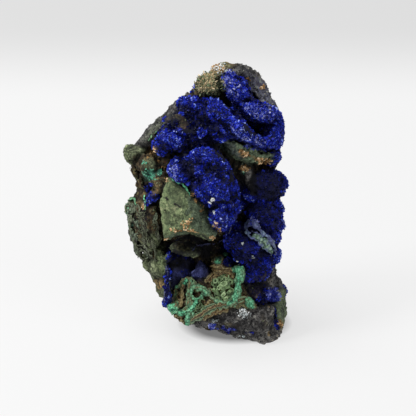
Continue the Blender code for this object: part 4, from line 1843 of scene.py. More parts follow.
GRANULAR_KNOBS = (
    Knob("summit_middle", 10.2, 47.6, 14.0, 5.0, 3.1, 7.4, 0),
    Knob("left_slope", -10.6, 34.0, 11.0, 8.6, 3.9, 8.0, 36),
    Knob("left_slope_low", -18.8, 26.2, 11.0, 7.4, 3.8, 8.0, 38),
    Knob("crag_low", 23.0, 31.0, 10.0, 3.0, 6.0, 8.0, 24),
    Knob("gully", 13.2, 11.0, 12.0, 3.4, 6.0, 5.0, 0),
    Knob("foot_shoulder", 21.8, -28.4, -3.4, 4.0, 5.6, 7.0, 20),
    Knob("foot_edge", 24.6, -38.0, -4.6, 3.6, 6.6, 6.0, 0),
    Knob("foot_left", -1.0, -39.6, -5.0, 8.0, 3.0, 8.0, -12),
    Knob("foot_middle", 13.0, -40.5, 0.0, 8.0, 3.6, 5.4, 0),
    Knob("foot_right", 22.6, -40.0, -4.0, 4.0, 5.0, 6.0, 0),
)
OLIVE_KNOBS = (
    Knob("left_knuckle", -26.8, 19.6, 8.0, 3.2, 4.2, 5.0, 0),
    Knob("left_knuckle_neck", -23.4, 20.4, 8.0, 5.4, 3.4, 8.0, 22),
    Knob("flank_low", -22.0, -11.0, 1.5, 4.5, 6.0, 7.0, 20),
    Knob("rim_root", -25.8, -1.6, 2.6, 2.8, 4.2, 4.4, 0),
    Knob("skirt", -17.8, -19.6, -3.4, 4.2, 7.4, 8.0, 8),
    Knob("skirt_low", -16.2, -29.0, -6.5, 3.4, 5.4, 7.0, 20),
    Knob("heel", -9.6, -37.2, -3.6, 4.4, 3.4, 6.0, -30),
    Knob("under_roll", -8.6, -14.8, 8.6, 5.6, 3.2, 5.0, -6),
)
BROWN_KNOBS = (
    Knob("teal_bank", -20.4, 14.6, 12.0, 4.6, 5.6, 6.0, 0),
    Knob("teal_bank_low", -17.6, 9.0, 13.0, 4.0, 5.0, 6.0, 0),
    Knob("flank", -21.0, 0.4, 5.0, 5.4, 10.5, 8.0, 0),
    Knob("flank_wide", -23.6, -5.6, 3.0, 4.4, 9.0, 6.0, 0),
    Knob("flank_top", -25.7, 14.2, 4.0, 2.4, 3.6, 5.0, 0),
    Knob("flank_fill", -23.4, 9.4, 5.0, 2.7, 5.0, 5.0, 0),
    Knob("bead_root", 3.6, -18.4, 8.4, 2.0, 2.0, 3.0, 0),
    Knob("flank_nick", -24.4, 4.7, 3.5, 1.8, 2.4, 5.0, 0),
    Knob("bead_neck", 6.2, -20.6, 7.4, 3.4, 2.4, 3.0, 0),
    Knob("mint_patch", -12.2, -36.6, -0.5, 2.8, 2.2, 3.0, -25),
)

# Chipped stones: the corners of each, as places on the display face.
BOULDER = stone(
    "boulder",
    (
        (-17.5, 1.6, 21.5), (-17.4, -1.0, 21.2), (-14.2, 10.8, 21.5), (-12.6, 11.4, 20.5), (-6.6, 3.0, 26.6),
        (-7.4, -2.2, 26.8), (-7.0, -8.2, 26.2), (-16.6, -10.2, 21.0), (-15.5, -12.2, 20.4),
        (1.2, -12.0, 19.4), (4.6, -9.4, 20.2), (2.4, -4.6, 22.0), (-1.6, 1.6, 23.4), (-5.0, 6.8, 23.4),
        (-14.0, -11.2, 13.0), (0.0, -11.6, 12.0), (-15.0, 9.0, 10.0), (0.0, 6.0, 10.0),
    ),
    0.35,
)
MOUND = stone("recess_mound", ((-3.0, -16.9, 4.0), (-5.0, -19.4, 5.4), (-8.2, -26.8, 3.0), (1.4, -25.0, 6.6),
    (-2.5, -24.4, 9.2), (-2.8, -20.4, 8.0), (0.8, -20.4, 6.0), (-7.0, -26.0, -6.0), (1.0, -25.0, -6.0),
    (-2.6, -18.0, -4.0)), 0.8)
LEDGE = stone("ledge", ((2.9, 24.6, 24.8), (9.0, 24.4, 25.0), (15.2, 20.2, 23.2), (23.6, 19.6, 19.4),
    (24.6, 17.0, 18.0), (15.0, 15.6, 21.6), (8.4, 18.2, 23.8), (4.4, 21.2, 24.2), (4.0, 22.0, 12.0),
    (22.0, 17.0, 8.0), (12.0, 14.0, 10.0)))
CRAG = stone("crag", ((9.4, 51.8, 13.0), (16.0, 50.6, 13.0), (20.6, 46.6, 12.6), (23.4, 40.2, 13.0),
    (25.6, 36.8, 11.5), (27.4, 30.4, 10.5), (22.4, 33.4, 17.8), (18.6, 37.4, 19.6), (12.8, 44.0, 19.8),
    (8.6, 50.2, 18.4), (9.4, 46.6, 20.4), (8.0, 49.0, 3.0), (15.0, 46.0, 1.0), (20.0, 38.0, 0.0),
    (24.0, 30.0, 0.0)))
CURL_BED = stone("curl_bed", ((-12.4, -27.0, 1.6), (-12.0, -36.0, 1.2), (-8.0, -41.0, 2.0),
    (0.0, -38.0, 6.2), (-6.0, -25.0, 3.0), (1.6, -21.6, 7.0), (9.0, -20.0, 8.8), (12.6, -23.6, 8.4),
    (12.4, -31.0, 8.4), (17.0, -35.6, 6.8), (3.0, -33.6, 7.6), (-10.0, -30.0, -12.0), (-4.0, -38.0, -10.0),
    (14.0, -34.0, -8.0), (10.0, -22.0, -6.0)))
FOOT = stone(
    "foot",
    (
        (1.4, -36.0, 4.6), (11.5, -35.4, 7.0), (19.6, -34.6, 5.6), (27.2, -32.8, -0.5), (2.0, -43.4, -2.4),
        (6.4, -45.8, -1.4), (12.2, -47.9, -1.2), (21.4, -49.6, -0.6), (26.0, -47.6, -2.4),
        (28.6, -42.4, -5.0), (28.6, -36.6, -4.0), (13.6, -41.0, 6.6), (21.0, -41.0, 4.2),
        (0.0, -44.0, -16.0), (25.0, -46.0, -18.0), (24.0, -34.0, -12.0), (2.0, -34.0, -8.0),
    ),
)

# Rolls along paths on the display face.
SLOPE_BAND = Rib("slope_band", 3.0, ((-22.3, 23.2, 10.5), (-19.1, 28.3, 11.0), (-15.4, 32.2, 11.5),
    (-10.1, 34.5, 12.0), (-7.2, 37.4, 13.0)))
LEFT_RIM = Rib("left_rim", 1.8, ((-26.6, 2.4, 3.0), (-27.4, -1.0, 3.4), (-27.0, -5.6, 3.4),
    (-26.2, -10.4, 2.4), (-25.6, -14.4, 1.4), (-23.4, -18.2, -0.6), (-20.6, -22.6, -2.4),
    (-19.4, -26.4, -4.0)))
VIOLET_RIM = Rib("violet_rim", 1.2, ((-15.0, -18.6, 3.0), (-14.6, -24.0, 2.6), (-15.0, -30.0, 0.4),
    (-15.4, -34.4, -2.0)))
FLANK_VEIN = Rib("flank_vein", 1.1, ((-18.6, 8.6, 13.6), (-19.6, 4.6, 14.0), (-22.0, 1.4, 12.0),
    (-22.6, -2.6, 10.4)))

# Broken stones of the back and the sides: their middles, half sizes and turns, and what they are made of.
BLOCKS = (
    (Mineral.GRANULAR, Block("back_peak", (8, 6, 85), (7, 6, 8), (-10, 15, 20))),
    (Mineral.GRANULAR, Block("back_crest", (14, 8, 74), (8, 7, 10), (8, -20, -15))),
    (Mineral.GRANULAR, Block("back_slope", (-4, 7, 71), (11, 7, 8), (-14, -32, 12))),
    (Mineral.GRANULAR, Block("back_left_high", (-15, 7, 60), (9, 8, 10), (10, 38, 30))),
    (Mineral.BROWN, Block("back_middle_high", (2, 10, 60), (11, 8, 10), (12, 18, -8))),
    (Mineral.GRANULAR, Block("back_right_high", (16, 9, 57), (9, 10, 10), (-8, -12, -28))),
    (Mineral.OLIVE, Block("back_left", (-15, 9, 44), (10, 9, 11), (-12, -16, 24))),
    (Mineral.BROWN, Block("back_middle", (2, 13, 43), (12, 8, 11), (10, -28, 10))),
    (Mineral.BROWN, Block("back_right", (15, 11, 40), (10, 9, 11), (14, 20, -20))),
    (Mineral.BROWN, Block("back_left_low", (-9, 11, 26), (11, 9, 11), (12, 12, 18))),
    (Mineral.GRANULAR, Block("back_right_low", (10, 14, 24), (12, 8, 11), (-14, 32, -10))),
    (Mineral.BROWN, Block("back_heel_left", (-4, 10, 9), (10, 9, 12), (-8, -14, 22))),
    (Mineral.GRANULAR, Block("back_heel_right", (14, 10, 8), (10, 9, 12), (6, 10, -24))),
    (Mineral.GRANULAR, Block("left_high", (-21, 3, 50), (5, 10, 10), (18, 10, 6))),
    (Mineral.BROWN, Block("left_low", (-17, 4, 28), (6, 10, 10), (-16, -12, 12))),
    (Mineral.OLIVE, Block("left_heel", (-11, 3, 12), (6, 9, 9), (12, -24, 20))),
    (Mineral.GRANULAR, Block("right_top", (18, 3, 68), (6, 8, 10), (20, -8, -6))),
    (Mineral.AZURITE, Block("right_high", (20, -2, 52), (6, 11, 10), (-18, 6, 8))),
    (Mineral.AZURITE, Block("right_middle", (20, 0, 36), (6, 13, 10), (14, -6, -6))),
    (Mineral.GRANULAR, Block("right_low", (20, -3, 20), (6, 13, 11), (-12, 8, 4))),
)


# Hollows, which are cut out after everything has grown.
HOLLOWS = (
    Knob("arc_hollow", 16.6, 27.9, 21.0, 5.4, 2.2, 7.5, -24),
    Rib("crown_trough", 1.5, ((-7.0, 33.4, 25.0), (-2.2, 30.4, 26.0), (2.2, 27.4, 27.0), (3.6, 24.6, 27.0))),
    Rib("crown_groove", 1.1, ((-3.0, 38.6, 24.0), (3.6, 37.4, 25.5), (8.4, 34.8, 26.0), (11.6, 31.4, 26.0))),
    Rib("ridge_groove", 1.1, ((3.0, 45.0, 23.0), (6.4, 41.0, 25.5), (10.4, 37.6, 26.0), (15.0, 36.6, 24.0))),
    Rib("shoulder_groove", 0.9, ((-15.6, 28.2, 23.0), (-11.0, 28.4, 25.0), (-6.4, 28.6, 26.5))),
    Rib("black_hollow", 1.9, ((1.0, 23.8, 25.0), (3.4, 20.6, 24.5), (6.8, 17.4, 23.0), (9.4, 14.0, 21.0))),
    Rib("shoulder_foot", 1.5, ((-17.0, 18.6, 20.0), (-12.6, 18.0, 23.0), (-8.4, 18.6, 24.5),
        (-4.0, 21.2, 24.0))),
    Knob("right_gully", 11.4, 8.6, 18.0, 2.2, 6.4, 5.0, 18),
    Knob("bulge_notch", 20.4, 14.0, 19.0, 5.4, 0.9, 5.0, 0),
    Rib("waist_groove", 1.1, ((15.4, 4.6, 18.0), (19.0, 3.6, 18.6), (25.0, 2.6, 16.0))),
    Knob("under_boulder", -6.4, -12.0, 21.0, 7.4, 3.8, 12.0, -4),
    Knob("under_boulder_right", 3.6, -15.4, 15.0, 4.0, 2.8, 11.0, -10),
    Knob("recess", -9.0, -20.6, 9.0, 6.4, 3.0, 9.0, 0),
    Knob("recess_low", -10.8, -28.6, 6.4, 3.4, 7.0, 8.4, 4),
    Knob("brow_pit", 3.0, 8.6, 31.0, 0.9, 1.3, 2.6, 40),
    Rib("brow_groove", 0.8, ((-4.6, 14.4, 30.4), (0.4, 12.6, 31.6), (5.0, 9.0, 31.4))),
    Knob("boulder_pit", -14.8, 3.3, 24.4, 0.7, 1.0, 1.6, -30),
    Knob("boulder_pit_low", -15.9, -0.9, 23.6, 0.7, 0.4, 1.6, 0),
)


def block_groups() -> tuple[Growing, ...]:
    """The broken stones of the back and the sides, each with its own scattered corners."""
    return tuple(
        Growing(mineral, 1.2, (block.hull(number),)) for number, (mineral, block) in enumerate(BLOCKS)
    )


RELIEFS = {
    Mineral.AZURITE: Relief(folds=((4.8, 2.8), (2.4, 0.9)), lobes=((1.8, 0.8),), soft_size=1.6,
        soft_height=0.4, seed=11),
    Mineral.INDIGO: Relief(cracks=((2.6, 0.5), (1.2, 0.35)), soft_size=2.0, soft_height=0.6, seed=13),
    Mineral.SLATE: Relief(cracks=((3.2, 0.9), (1.5, 0.5)), soft_size=2.4, soft_height=0.6, seed=61),
    Mineral.GRANULAR: Relief(cracks=((4.4, 0.6), (1.7, 0.35)), soft_size=3.4, soft_height=0.8, seed=23),
    Mineral.SAGE: Relief(cracks=((5.0, 0.5), (1.8, 0.2)), soft_size=2.6, soft_height=0.4, seed=37),
    Mineral.BROWN: Relief(cracks=((3.0, 0.9), (1.5, 0.4)), soft_size=3.0, soft_height=0.7, upright=2.0,
        seed=41),
    Mineral.OLIVE: Relief(cracks=((3.4, 0.7), (1.6, 0.4)), soft_size=2.6, soft_height=0.7, seed=47),
    Mineral.TAN: Relief(cracks=((2.2, 0.4),), soft_size=2.0, soft_height=0.4, seed=53),
    Mineral.MALACHITE: Relief(cracks=((1.9, 0.6),), soft_size=1.8, soft_height=0.5, seed=59),
}

SPOTS = patches(
    (Mineral.SAGE, (8.6, 20.8, 5.0, 2.4, -25, 0.7)),
    # Painted shade: near black in the hollows of the crown, in the gully, on the shaded right bulge and under
    # the boulder.
    (
        Mineral.BLACK, (4.0, 20.2, 4.8, 1.3, -55, 0.9), (9.0, 12.0, 1.3, 4.6, 0, 0.8),
        (16.2, 8.4, 1.5, 4.6, 0, 0.85), (20.8, 7.4, 6.6, 5.0, 0, 0.45), (15.6, 27.8, 4.0, 1.4, -30, 0.8),
        (-6.4, -11.6, 7.4, 2.4, 0, 0.92), (-1.2, -15.4, 3.0, 2.4, 0, 0.8),
    ),
    (Mineral.AZURITE, (8.6, -16.8, 5.4, 4.2, 0, 0.9), (15.4, -24.6, 3.6, 4.6, 0, 0.8)),
    # Painted shade under the boulder's roll.
    (Mineral.BLACK, (-8.6, -14.8, 6.4, 4.0, 0, 0.52)),
    (Mineral.BROWN, (-9.4, -14.2, 4.0, 1.6, -14, 0.5)),
    # Painted shade in the recess.
    (Mineral.BLACK, (-9.6, -20.4, 5.6, 2.2, 0, 0.85)),
    # Painted shade: the azurite strip in the recess is given the dim indigo.
    (Mineral.INDIGO, (-11.4, -28.2, 3.0, 7.0, 0, 0.8)),
    # Painted shade in the recess and in grooves of the shoulder.
    (
        Mineral.BLACK, (-11.6, -18.4, 2.6, 3.0, 0, 0.7), (-11.0, 19.4, 5.6, 1.4, 8, 0.8),
        (-7.4, 27.4, 3.6, 0.9, -10, 0.7),
    ),
    (Mineral.BROWN, (-9.8, 31.4, 3.2, 1.5, -52, 0.9)),
    (Mineral.TAN, (-9.6, 29.0, 2.0, 0.8, -20, 0.7)),
    (Mineral.PALE, (9.0, 20.8, 6.0, 2.0, -24, 0.25), (27.0, -35.0, 2.4, 7.0, 0, 0.3)),
    (Mineral.OLIVE, (-17.0, 29.0, 8.0, 3.0, 38, 0.4)),
    (Mineral.TAN, (-20.2, 19.9, 2.6, 2.8, 0, 0.6)),
    (Mineral.BROWN, (-24.8, 14.8, 3.6, 4.2, 0, 0.9)),
    (Mineral.OLIVE, (-21.0, 15.4, 2.4, 3.0, 0, 0.6)),
    (
        Mineral.TEAL, (-21.4, 11.9, 2.2, 1.7, 0, 1.0), (-17.6, 12.9, 1.2, 1.0, 0, 1.0),
        (-22.8, 16.9, 0.6, 1.2, 0, 0.9),
    ),
    (Mineral.TAN, (3.6, 50.2, 2.0, 1.2, 0, 0.9)),
    (Mineral.OLIVE, (6.4, 51.2, 2.6, 0.9, 0, 0.8)),
    (Mineral.AZURITE, (-6.6, 43.6, 1.6, 2.6, 40, 0.8), (-21.4, 7.4, 1.4, 2.0, -20, 0.9)),
    (Mineral.TAN, (-18.4, 6.0, 1.8, 1.4, 30, 0.5), (-23.6, 0.6, 0.6, 1.4, 0, 0.8)),
    (Mineral.TEAL, (-22.6, 2.0, 0.4, 0.9, 0, 0.9), (-28.4, -4.0, 0.7, 6.4, 6, 0.5)),
    (Mineral.TAN, (-19.2, -16.8, 0.7, 1.6, 0, 0.9)),
    (Mineral.SAGE, (-17.0, -18.6, 2.3, 6.4, 4, 1.0)),
    (
        Mineral.TAN, (-17.8, -27.2, 2.2, 2.2, 0, 0.8), (12.6, 19.6, 2.6, 1.1, -20, 0.8),
        (19.0, 17.6, 3.6, 1.0, -10, 0.8), (12.8, 14.4, 2.0, 0.9, 0, 0.8),
    ),
    (
        Mineral.TEAL, (5.6, 22.0, 2.0, 1.2, -30, 0.4), (12.6, 12.9, 0.6, 0.6, 0, 0.9),
        (-12.8, -36.4, 2.2, 1.6, 0, 0.95), (-7.6, -40.4, 1.2, 1.8, 0, 0.9),
    ),
    (
        Mineral.BROWN, (15.6, -29.4, 4.0, 3.6, 0, 0.6), (20.6, -26.0, 2.6, 3.0, 0, 0.5),
        (8.4, -42.0, 3.4, 1.0, -14, 0.7), (18.2, 46.2, 2.4, 3.4, -35, 0.6),
    ),
    (Mineral.BLACK, (13.4, 49.6, 2.4, 1.2, -20, 0.5)),
    (Mineral.BROWN, (22.4, 37.6, 1.2, 3.4, -20, 0.5), (-13.4, 32.4, 3.6, 1.2, 38, 0.7)),
    (Mineral.BLACK, (-19.4, 25.4, 3.0, 1.0, 40, 0.5)),
    (Mineral.BROWN, (20.0, -41.0, 1.4, 3.4, 10, 0.55)),
    (Mineral.AZURITE, (15.4, -45.2, 2.0, 0.45, -6, 0.8)),
    (Mineral.OLIVE, (27.6, -31.0, 0.9, 3.0, 0, 0.8)),
    (Mineral.SAGE, (26.6, -36.0, 2.4, 7.4, 0, 0.8)),
    (Mineral.BROWN, (-25.6, 19.6, 3.6, 4.0, 0, 0.3)),
    (Mineral.PALE, (18.6, 41.0, 4.4, 9.4, 38, 0.3)),
    (Mineral.TAN, (25.8, -41.4, 0.9, 1.4, 0, 1.0)),
    (
        Mineral.AZURITE, (24.6, -40.0, 0.5, 4.4, 6, 0.9), (7.2, -43.9, 3.4, 0.6, -12, 0.9),
        (1.6, -42.1, 1.3, 1.1, 0, 0.9),
    ),
    (Mineral.TEAL, (21.6, -12.8, 3.4, 1.1, -42, 0.7)),
    (Mineral.GRANULAR, (-10.4, -10.9, 1.0, 0.8, 0, 0.7)),
)

# Weathered host rock with copper minerals: matt and grainy, so it takes soft light with no shine; its hollows
# carry painted shade.
ROCK_FINISH = RockFinish(
    (
        MineralColour(Mineral.BROWN, ((0.3, "#0e0b08"), (0.5, "#2c2419"), (0.7, "#544630"),
            (0.88, "#84764e")), "#6e4a30", 0.9, 3.0, 0.93, 0.2, veins=0.6),
        MineralColour(Mineral.GRANULAR, ((0.3, "#161617"), (0.5, "#42403f"), (0.7, "#757370"),
            (0.88, "#a8a69e")), "#948262", 0.9, 3.0, 0.93, veins=0.6),
        MineralColour(Mineral.SAGE, ((0.3, "#37412c"), (0.5, "#5b694a"), (0.7, "#78865e"),
            (0.9, "#acae86")), "#7c7048", 0.5, 3.0, 0.94, 0.1, veins=0.7),
        MineralColour(Mineral.OLIVE, ((0.3, "#181b13"), (0.48, "#454c38"), (0.66, "#6c7556"),
            (0.88, "#9aa480")), "#7a6440", 0.8, 3.0, 0.94, 0.25, veins=0.6),
        MineralColour(Mineral.TAN, ((0.3, "#2c2618"), (0.5, "#6e6042"), (0.7, "#9c865a"), (0.9, "#c4a878")),
            "#c49a5c", 0.8, 2.4, 0.85),
        MineralColour(Mineral.MALACHITE, ((0.3, "#17120a"), (0.5, "#3a2e1c"), (0.7, "#665434"),
            (0.9, "#8a8656")), "#9a7c50", 0.8, 2.4, 0.9, 0.2),
        MineralColour(Mineral.TEAL, ((0.3, "#15261f"), (0.5, "#2c5245"), (0.7, "#4a8a72"),
            (0.9, "#7cc2a2")), "#8ad0ac", 0.8, 2.4, 0.9),
        MineralColour(Mineral.PALE, ((0.3, "#33344a"), (0.5, "#5c5e88"), (0.7, "#8a90b0"),
            (0.9, "#b4beb4")), "#c8d4c8", 0.8, 2.4, 0.9, 0.2),
        MineralColour(Mineral.WHITE, ((0.3, "#a0a4a8"), (0.6, "#dadcde"), (0.9, "#ffffff")), "#ffffff", 0.8,
            2.4),
        MineralColour(Mineral.SLATE, ((0.3, "#323b2c"), (0.5, "#586650"), (0.7, "#74866a"),
            (0.9, "#96a486")), "#84744a", 0.5, 3.0, 0.96, 0.06, veins=0.6),
        # Dim indigo: the azurite of the recess, painted as in shade.
        MineralColour(Mineral.INDIGO, ((0.3, "#101230"), (0.5, "#272c58"), (0.7, "#3f4578"),
            (0.9, "#6068a0")), "#6a72ac", 0.7, 1.4, 0.93),
        # Near black, for the patches of painted shade.
        MineralColour(Mineral.BLACK, ((0.3, "#040406"), (0.6, "#0c0c10"), (0.9, "#1a1a1e")), "#1c2048", 0.7,
            2.4, 0.88),
        MineralColour(Mineral.AZURITE, ((0.3, "#010212"), (0.5, "#040830"), (0.7, "#0a1258"),
            (0.9, "#182688")), "#2434a0", 0.7, 2.6, 0.92),
    ),
)

# Azurite, grown as small glassy blades: nearly black in shade, royal blue, pale where a face glints.
AZURITE_CRYSTALS = CrystalFinish("azurite_crystals", ((0.02, "#01031c"), (0.28, "#060d54"),
    (0.55, "#1120a4"), (0.82, "#283ec2"), (0.95, "#546cd0"), (1.0, "#a0b0ee")), 0.42, 0.18, 5.0, 0.35)
# Azurite tips that catch the light, or are thinly coated: lilac to white.
PALE_CRYSTALS = CrystalFinish("pale_azurite_crystals", ((0.0, "#1a2480"), (0.4, "#3c4ab0"),
    (0.75, "#7c84cc"), (1.0, "#c4c8e8")), 0.4, 0.35)
# Clear broken calcite grains: small white glints.
SPARKLE = CrystalFinish("white_sparkle", ((0.0, "#8a9698"), (0.4, "#c4ccce"), (0.8, "#eef2f2"),
    (1.0, "#ffffff")), 0.3, 0.5)
# Limonite, earthy and crumbly: dull tan to cream.
OCHRE_CRUMBS = CrystalFinish("ochre_crumbs", ((0.0, "#664e2e"), (0.35, "#a88254"), (0.7, "#d0ae82"),
    (1.0, "#f0d8b6")), 0.8, 0.2)
# Malachite, finely fibrous: silky blue-green.
MINT_CRUMBS = CrystalFinish("mint_crumbs", ((0.0, "#1e4a3c"), (0.4, "#459a7c"), (0.8, "#76c8a4"),
    (1.0, "#a6e0c4")), 0.6, 0.3)
# Malachite needles coated with limonite: tan tips over green, dark roots.
NEEDLE_FINISH = CrystalFinish("tan_green_needles", ((0.0, "#14150f"), (0.25, "#484c3c"), (0.5, "#7e8e6c"),
    (0.75, "#b49e78"), (1.0, "#dcc8a4")), 0.6, 0.25)
# Weathered green rock, broken to grit: dull olive.
OLIVE_GRIT_FINISH = CrystalFinish("olive_grit", ((0.0, "#22251a"), (0.5, "#5a6348"), (0.85, "#828c68"),
    (1.0, "#a8ac88")), 0.8, 0.2)
# Dark host rock, broken to grit: dull grey with a few tan grains.
GRIT_FINISH = CrystalFinish("rock_grit", ((0.0, "#121214"), (0.45, "#3c3d3f"), (0.8, "#6a6a68"),
    (0.96, "#9c9888"), (1.0, "#b8ae96")), 0.8, 0.2)

DRUSE = Scatter(
    "azurite_druse", WEDGE, AZURITE_CRYSTALS, 22000, 0.35, 0.9, tilt=0.45, seed=101,
    minerals=(Mineral.AZURITE,),
    clump=1.4, bareness=0.12, front=1.0,
    # Painted shade: the crystals are smaller and darker on the right bulge, the right column, the chest, the
    # lower right and the recess.
    darkened=patches((Mineral.AZURITE, (21.6, 8.4, 7.0, 6.0), (19.6, -6.4, 8.4, 9.0, 0, 0.6),
        (12.6, -15.0, 8.6, 8.0, 0, 0.55), (17.6, -27.0, 8.0, 7.0, 0, 0.5),
        (-10.6, -26.0, 6.6, 10.0, 0, 0.9))),
)
# The same painted shade as the druse.
FINE_DRUSE = Scatter("azurite_druse_fine", WEDGE, AZURITE_CRYSTALS, 12000, 0.28, 0.55, tilt=0.5, seed=103,
    minerals=(Mineral.AZURITE,), clump=1.1, bareness=0.1, front=1.0, darkened=DRUSE.darkened)
DRUSE_BEHIND = Scatter("azurite_druse_behind", WEDGE, AZURITE_CRYSTALS, 9000, 0.5, 1.3, tilt=0.4, seed=102,
    minerals=(Mineral.AZURITE,), clump=2.0, bareness=0.0, front=-1.0)
GRIT = Scatter(
    "matrix_grit", CHIP, GRIT_FINISH, 12000, 0.3, 0.85, 0.6, 0.3, 211,
    minerals=(Mineral.GRANULAR,),
    # The foot's darker rock: smaller, darker grit there.
    darkened=patches((Mineral.GRANULAR, (14.0, -41.0, 14.0, 7.0, 0, 0.6))),
)
OLIVE_GRIT = Scatter("olive_grit", CHIP, OLIVE_GRIT_FINISH, 7000, 0.4, 1.0, 0.6, 0.3, 212,
    minerals=(Mineral.OLIVE, Mineral.BROWN, Mineral.MALACHITE), clump=4.0, bareness=0.2)
CRUMBS = Scatter(
    "ochre_crumbs", CHIP, OCHRE_CRUMBS, 820, 0.45, 1.25, 0.8, 0.5, 221, lift=0.15,
    spots=patches(
        (
            Mineral.TAN, (-8.0, -5.9, 1.5, 1.1), (-6.6, -4.9, 0.8, 0.8), (-8.6, -8.0, 5.6, 0.5),
            (-13.6, -7.5, 0.8, 0.5), (-5.2, 4.7, 1.1, 0.6), (-3.8, 2.3, 1.1, 0.6), (-2.0, 0.3, 0.6, 0.9),
            (2.8, -5.9, 0.7, 1.5), (3.6, -7.7, 0.7, 0.9), (-15.2, -11.3, 0.9, 0.5), (2.0, -11.0, 0.9, 0.6),
            (12.0, 20.6, 1.3, 0.7), (13.8, 19.3, 1.5, 0.7), (18.4, 17.9, 1.4, 1.0), (21.4, 17.1, 1.7, 0.8),
            (12.8, 14.3, 2.0, 0.7), (18.8, 16.1, 0.8, 0.8), (-20.0, 20.5, 1.2, 1.6, 0, 0.5),
            (-16.0, 14.5, 0.7, 0.5), (-14.8, 10.5, 0.5, 0.9), (-17.4, 16.7, 0.6, 0.6),
            (-23.4, 0.5, 0.5, 1.0), (3.6, 50.4, 2.0, 1.0), (19.6, 43.2, 0.7, 1.2), (-6.8, 40.4, 0.6, 0.6),
            (14.4, 46.0, 0.6, 0.8, 0, 0.6), (25.8, -41.3, 0.9, 1.3),
        ),
    ),
)
MINT_BITS = Scatter(
    "mint_crumbs", CHIP, MINT_CRUMBS, 200, 0.4, 1.2, 0.8, 0.5, 222,
    spots=patches((Mineral.TEAL, (-21.6, 12.9, 1.7, 1.2), (-20.4, 10.9, 1.5, 1.1), (-17.6, 12.9, 1.2, 1.0),
        (-22.6, 16.9, 0.5, 1.1), (-12.8, -36.1, 2.2, 1.4), (-7.0, -41.0, 1.2, 1.4),
        (16.4, -6.6, 1.0, 1.0, 0, 0.5), (12.6, 12.9, 0.7, 0.7))),
)
PALE_BITS = Scatter(
    "pale_azurite", WEDGE, PALE_CRYSTALS, 2100, 0.4, 0.9, 1.0, 0.45, 223,
    spots=patches(
        (
            Mineral.PALE, (-11.6, 13.4, 1.6, 1.6, 0, 0.8), (-12.2, 11.4, 0.9, 1.4, 0, 0.8),
            (17.0, 35.0, 6.4, 2.0, -20, 0.35), (12.8, 25.0, 6.0, 1.6, -34, 0.4),
            (9.6, 41.6, 2.6, 3.0, -40, 0.3), (7.4, 47.8, 2.6, 1.9, 0, 0.7), (8.0, 44.2, 1.8, 2.2, 0, 0.5),
            (-6.4, 44.6, 0.8, 2.6, 40, 0.6), (9.6, 26.8, 4.4, 1.6, -38, 0.35), (23.6, -31.3, 2.6, 2.2),
            (17.6, 22.6, 5.0, 2.0, -12, 0.35), (15.6, -5.0, 2.2, 0.9), (1.6, -42.0, 1.2, 1.0),
            (7.2, -43.7, 3.0, 0.5, -12, 0.8),
        ),
    ),
)
SPARKLES = Scatter(
    "white_sparkle", CHIP, SPARKLE, 300, 0.3, 0.9, 0.8, 0.5, 224, lift=0.4,
    spots=patches((Mineral.WHITE, (12.6, -38.0, 2.4, 1.8, 0, 0.35), (2.8, -40.2, 1.2, 0.7, 0, 0.6),
        (4.6, 49.8, 2.8, 1.4, 0, 0.22), (11.6, -46.3, 1.6, 0.5, 0, 0.5), (2.6, -1.7, 0.3, 0.3),
        (12.0, -12.7, 0.3, 0.3), (16.8, -17.7, 0.4, 0.4, 0, 0.7), (11.2, -19.5, 0.4, 0.4, 0, 0.7))),
)
NEEDLES = Scatter(
    "needle_tuft", NEEDLE, NEEDLE_FINISH, 1200, 0.25, 0.46, 4.5, 1.4, 225,
    spots=patches((Mineral.TAN, (0.6, 44.4, 5.2, 3.9))),
)

# Banded malachite, naturally broken: dark and light growth rings, waxy, mint on round tops, with a painted
# highlight along their middles and painted shade at their edges.
MALACHITE = BandFinish("banded_malachite", ((0.0, "#1e160c"), (0.13, "#5c4a2c"), (0.3, "#988460"),
    (0.42, "#7c8c5e"), (0.54, "#3e563c"), (0.64, "#20281a"), (0.8, "#628668"), (1.0, "#a0b288")),
    ((0.1, "#1c4432"), (0.35, "#42906c"), (0.55, "#60bb8c"), (0.8, "#8edcb0"), (1.0, "#c4f2d6")))
# Iron-stained malachite: the same rings in tan and brown, duller.
BROWN_BANDS = BandFinish("brown_malachite_matrix", ((0.0, "#20160c"), (0.25, "#665030"), (0.5, "#a08a5c"),
    (0.7, "#5c5a3c"), (1.0, "#b4a67a")), ((0.1, "#2a2014"), (0.5, "#7a6642"), (1.0, "#b8a47c")))
# White calcite: an opaque white fleck.
CHALK = BandFinish("white_calcite", ((0.0, "#a8acae"), (0.5, "#e2e4e4"), (1.0, "#ffffff")),
    ((0.0, "#a8acae"), (0.5, "#e2e4e4"), (1.0, "#ffffff")), gap="#9098a4")
# A near-black strip laid on the stone where it is cracked: painted shade, in which hardly any light is left.
CRACK_SHADE_FINISH = BandFinish("painted_crack_shade", ((0.0, "#040404"), (1.0, "#0c0b08")), ((0.0, "#040404"),
    (1.0, "#0c0b08")))
# A thin azurite skin over grey rock: slate blue.
GREY_VEIN = BandFinish("grey_violet_vein", ((0.0, "#16182c"), (0.5, "#40446a"), (1.0, "#6a6e94")),
    ((0.0, "#16182c"), (0.5, "#3a4258"), (1.0, "#6a7884")), gap="#0c0d1c")
# A curled plate of malachite with an azurite rim: pale green inside, lilac at the rim.
DRUSY_EDGE = BandFinish("violet_azurite_rim", ((0.0, "#6c70b0"), (0.3, "#8488c0"), (0.6, "#565a9c"),
    (0.8, "#66789a"), (1.0, "#343a7a")), ((0.15, "#2e4a40"), (0.45, "#6a8a6c"), (0.75, "#93b090"),
    (1.0, "#c0dcc8")), gap="#14142c")

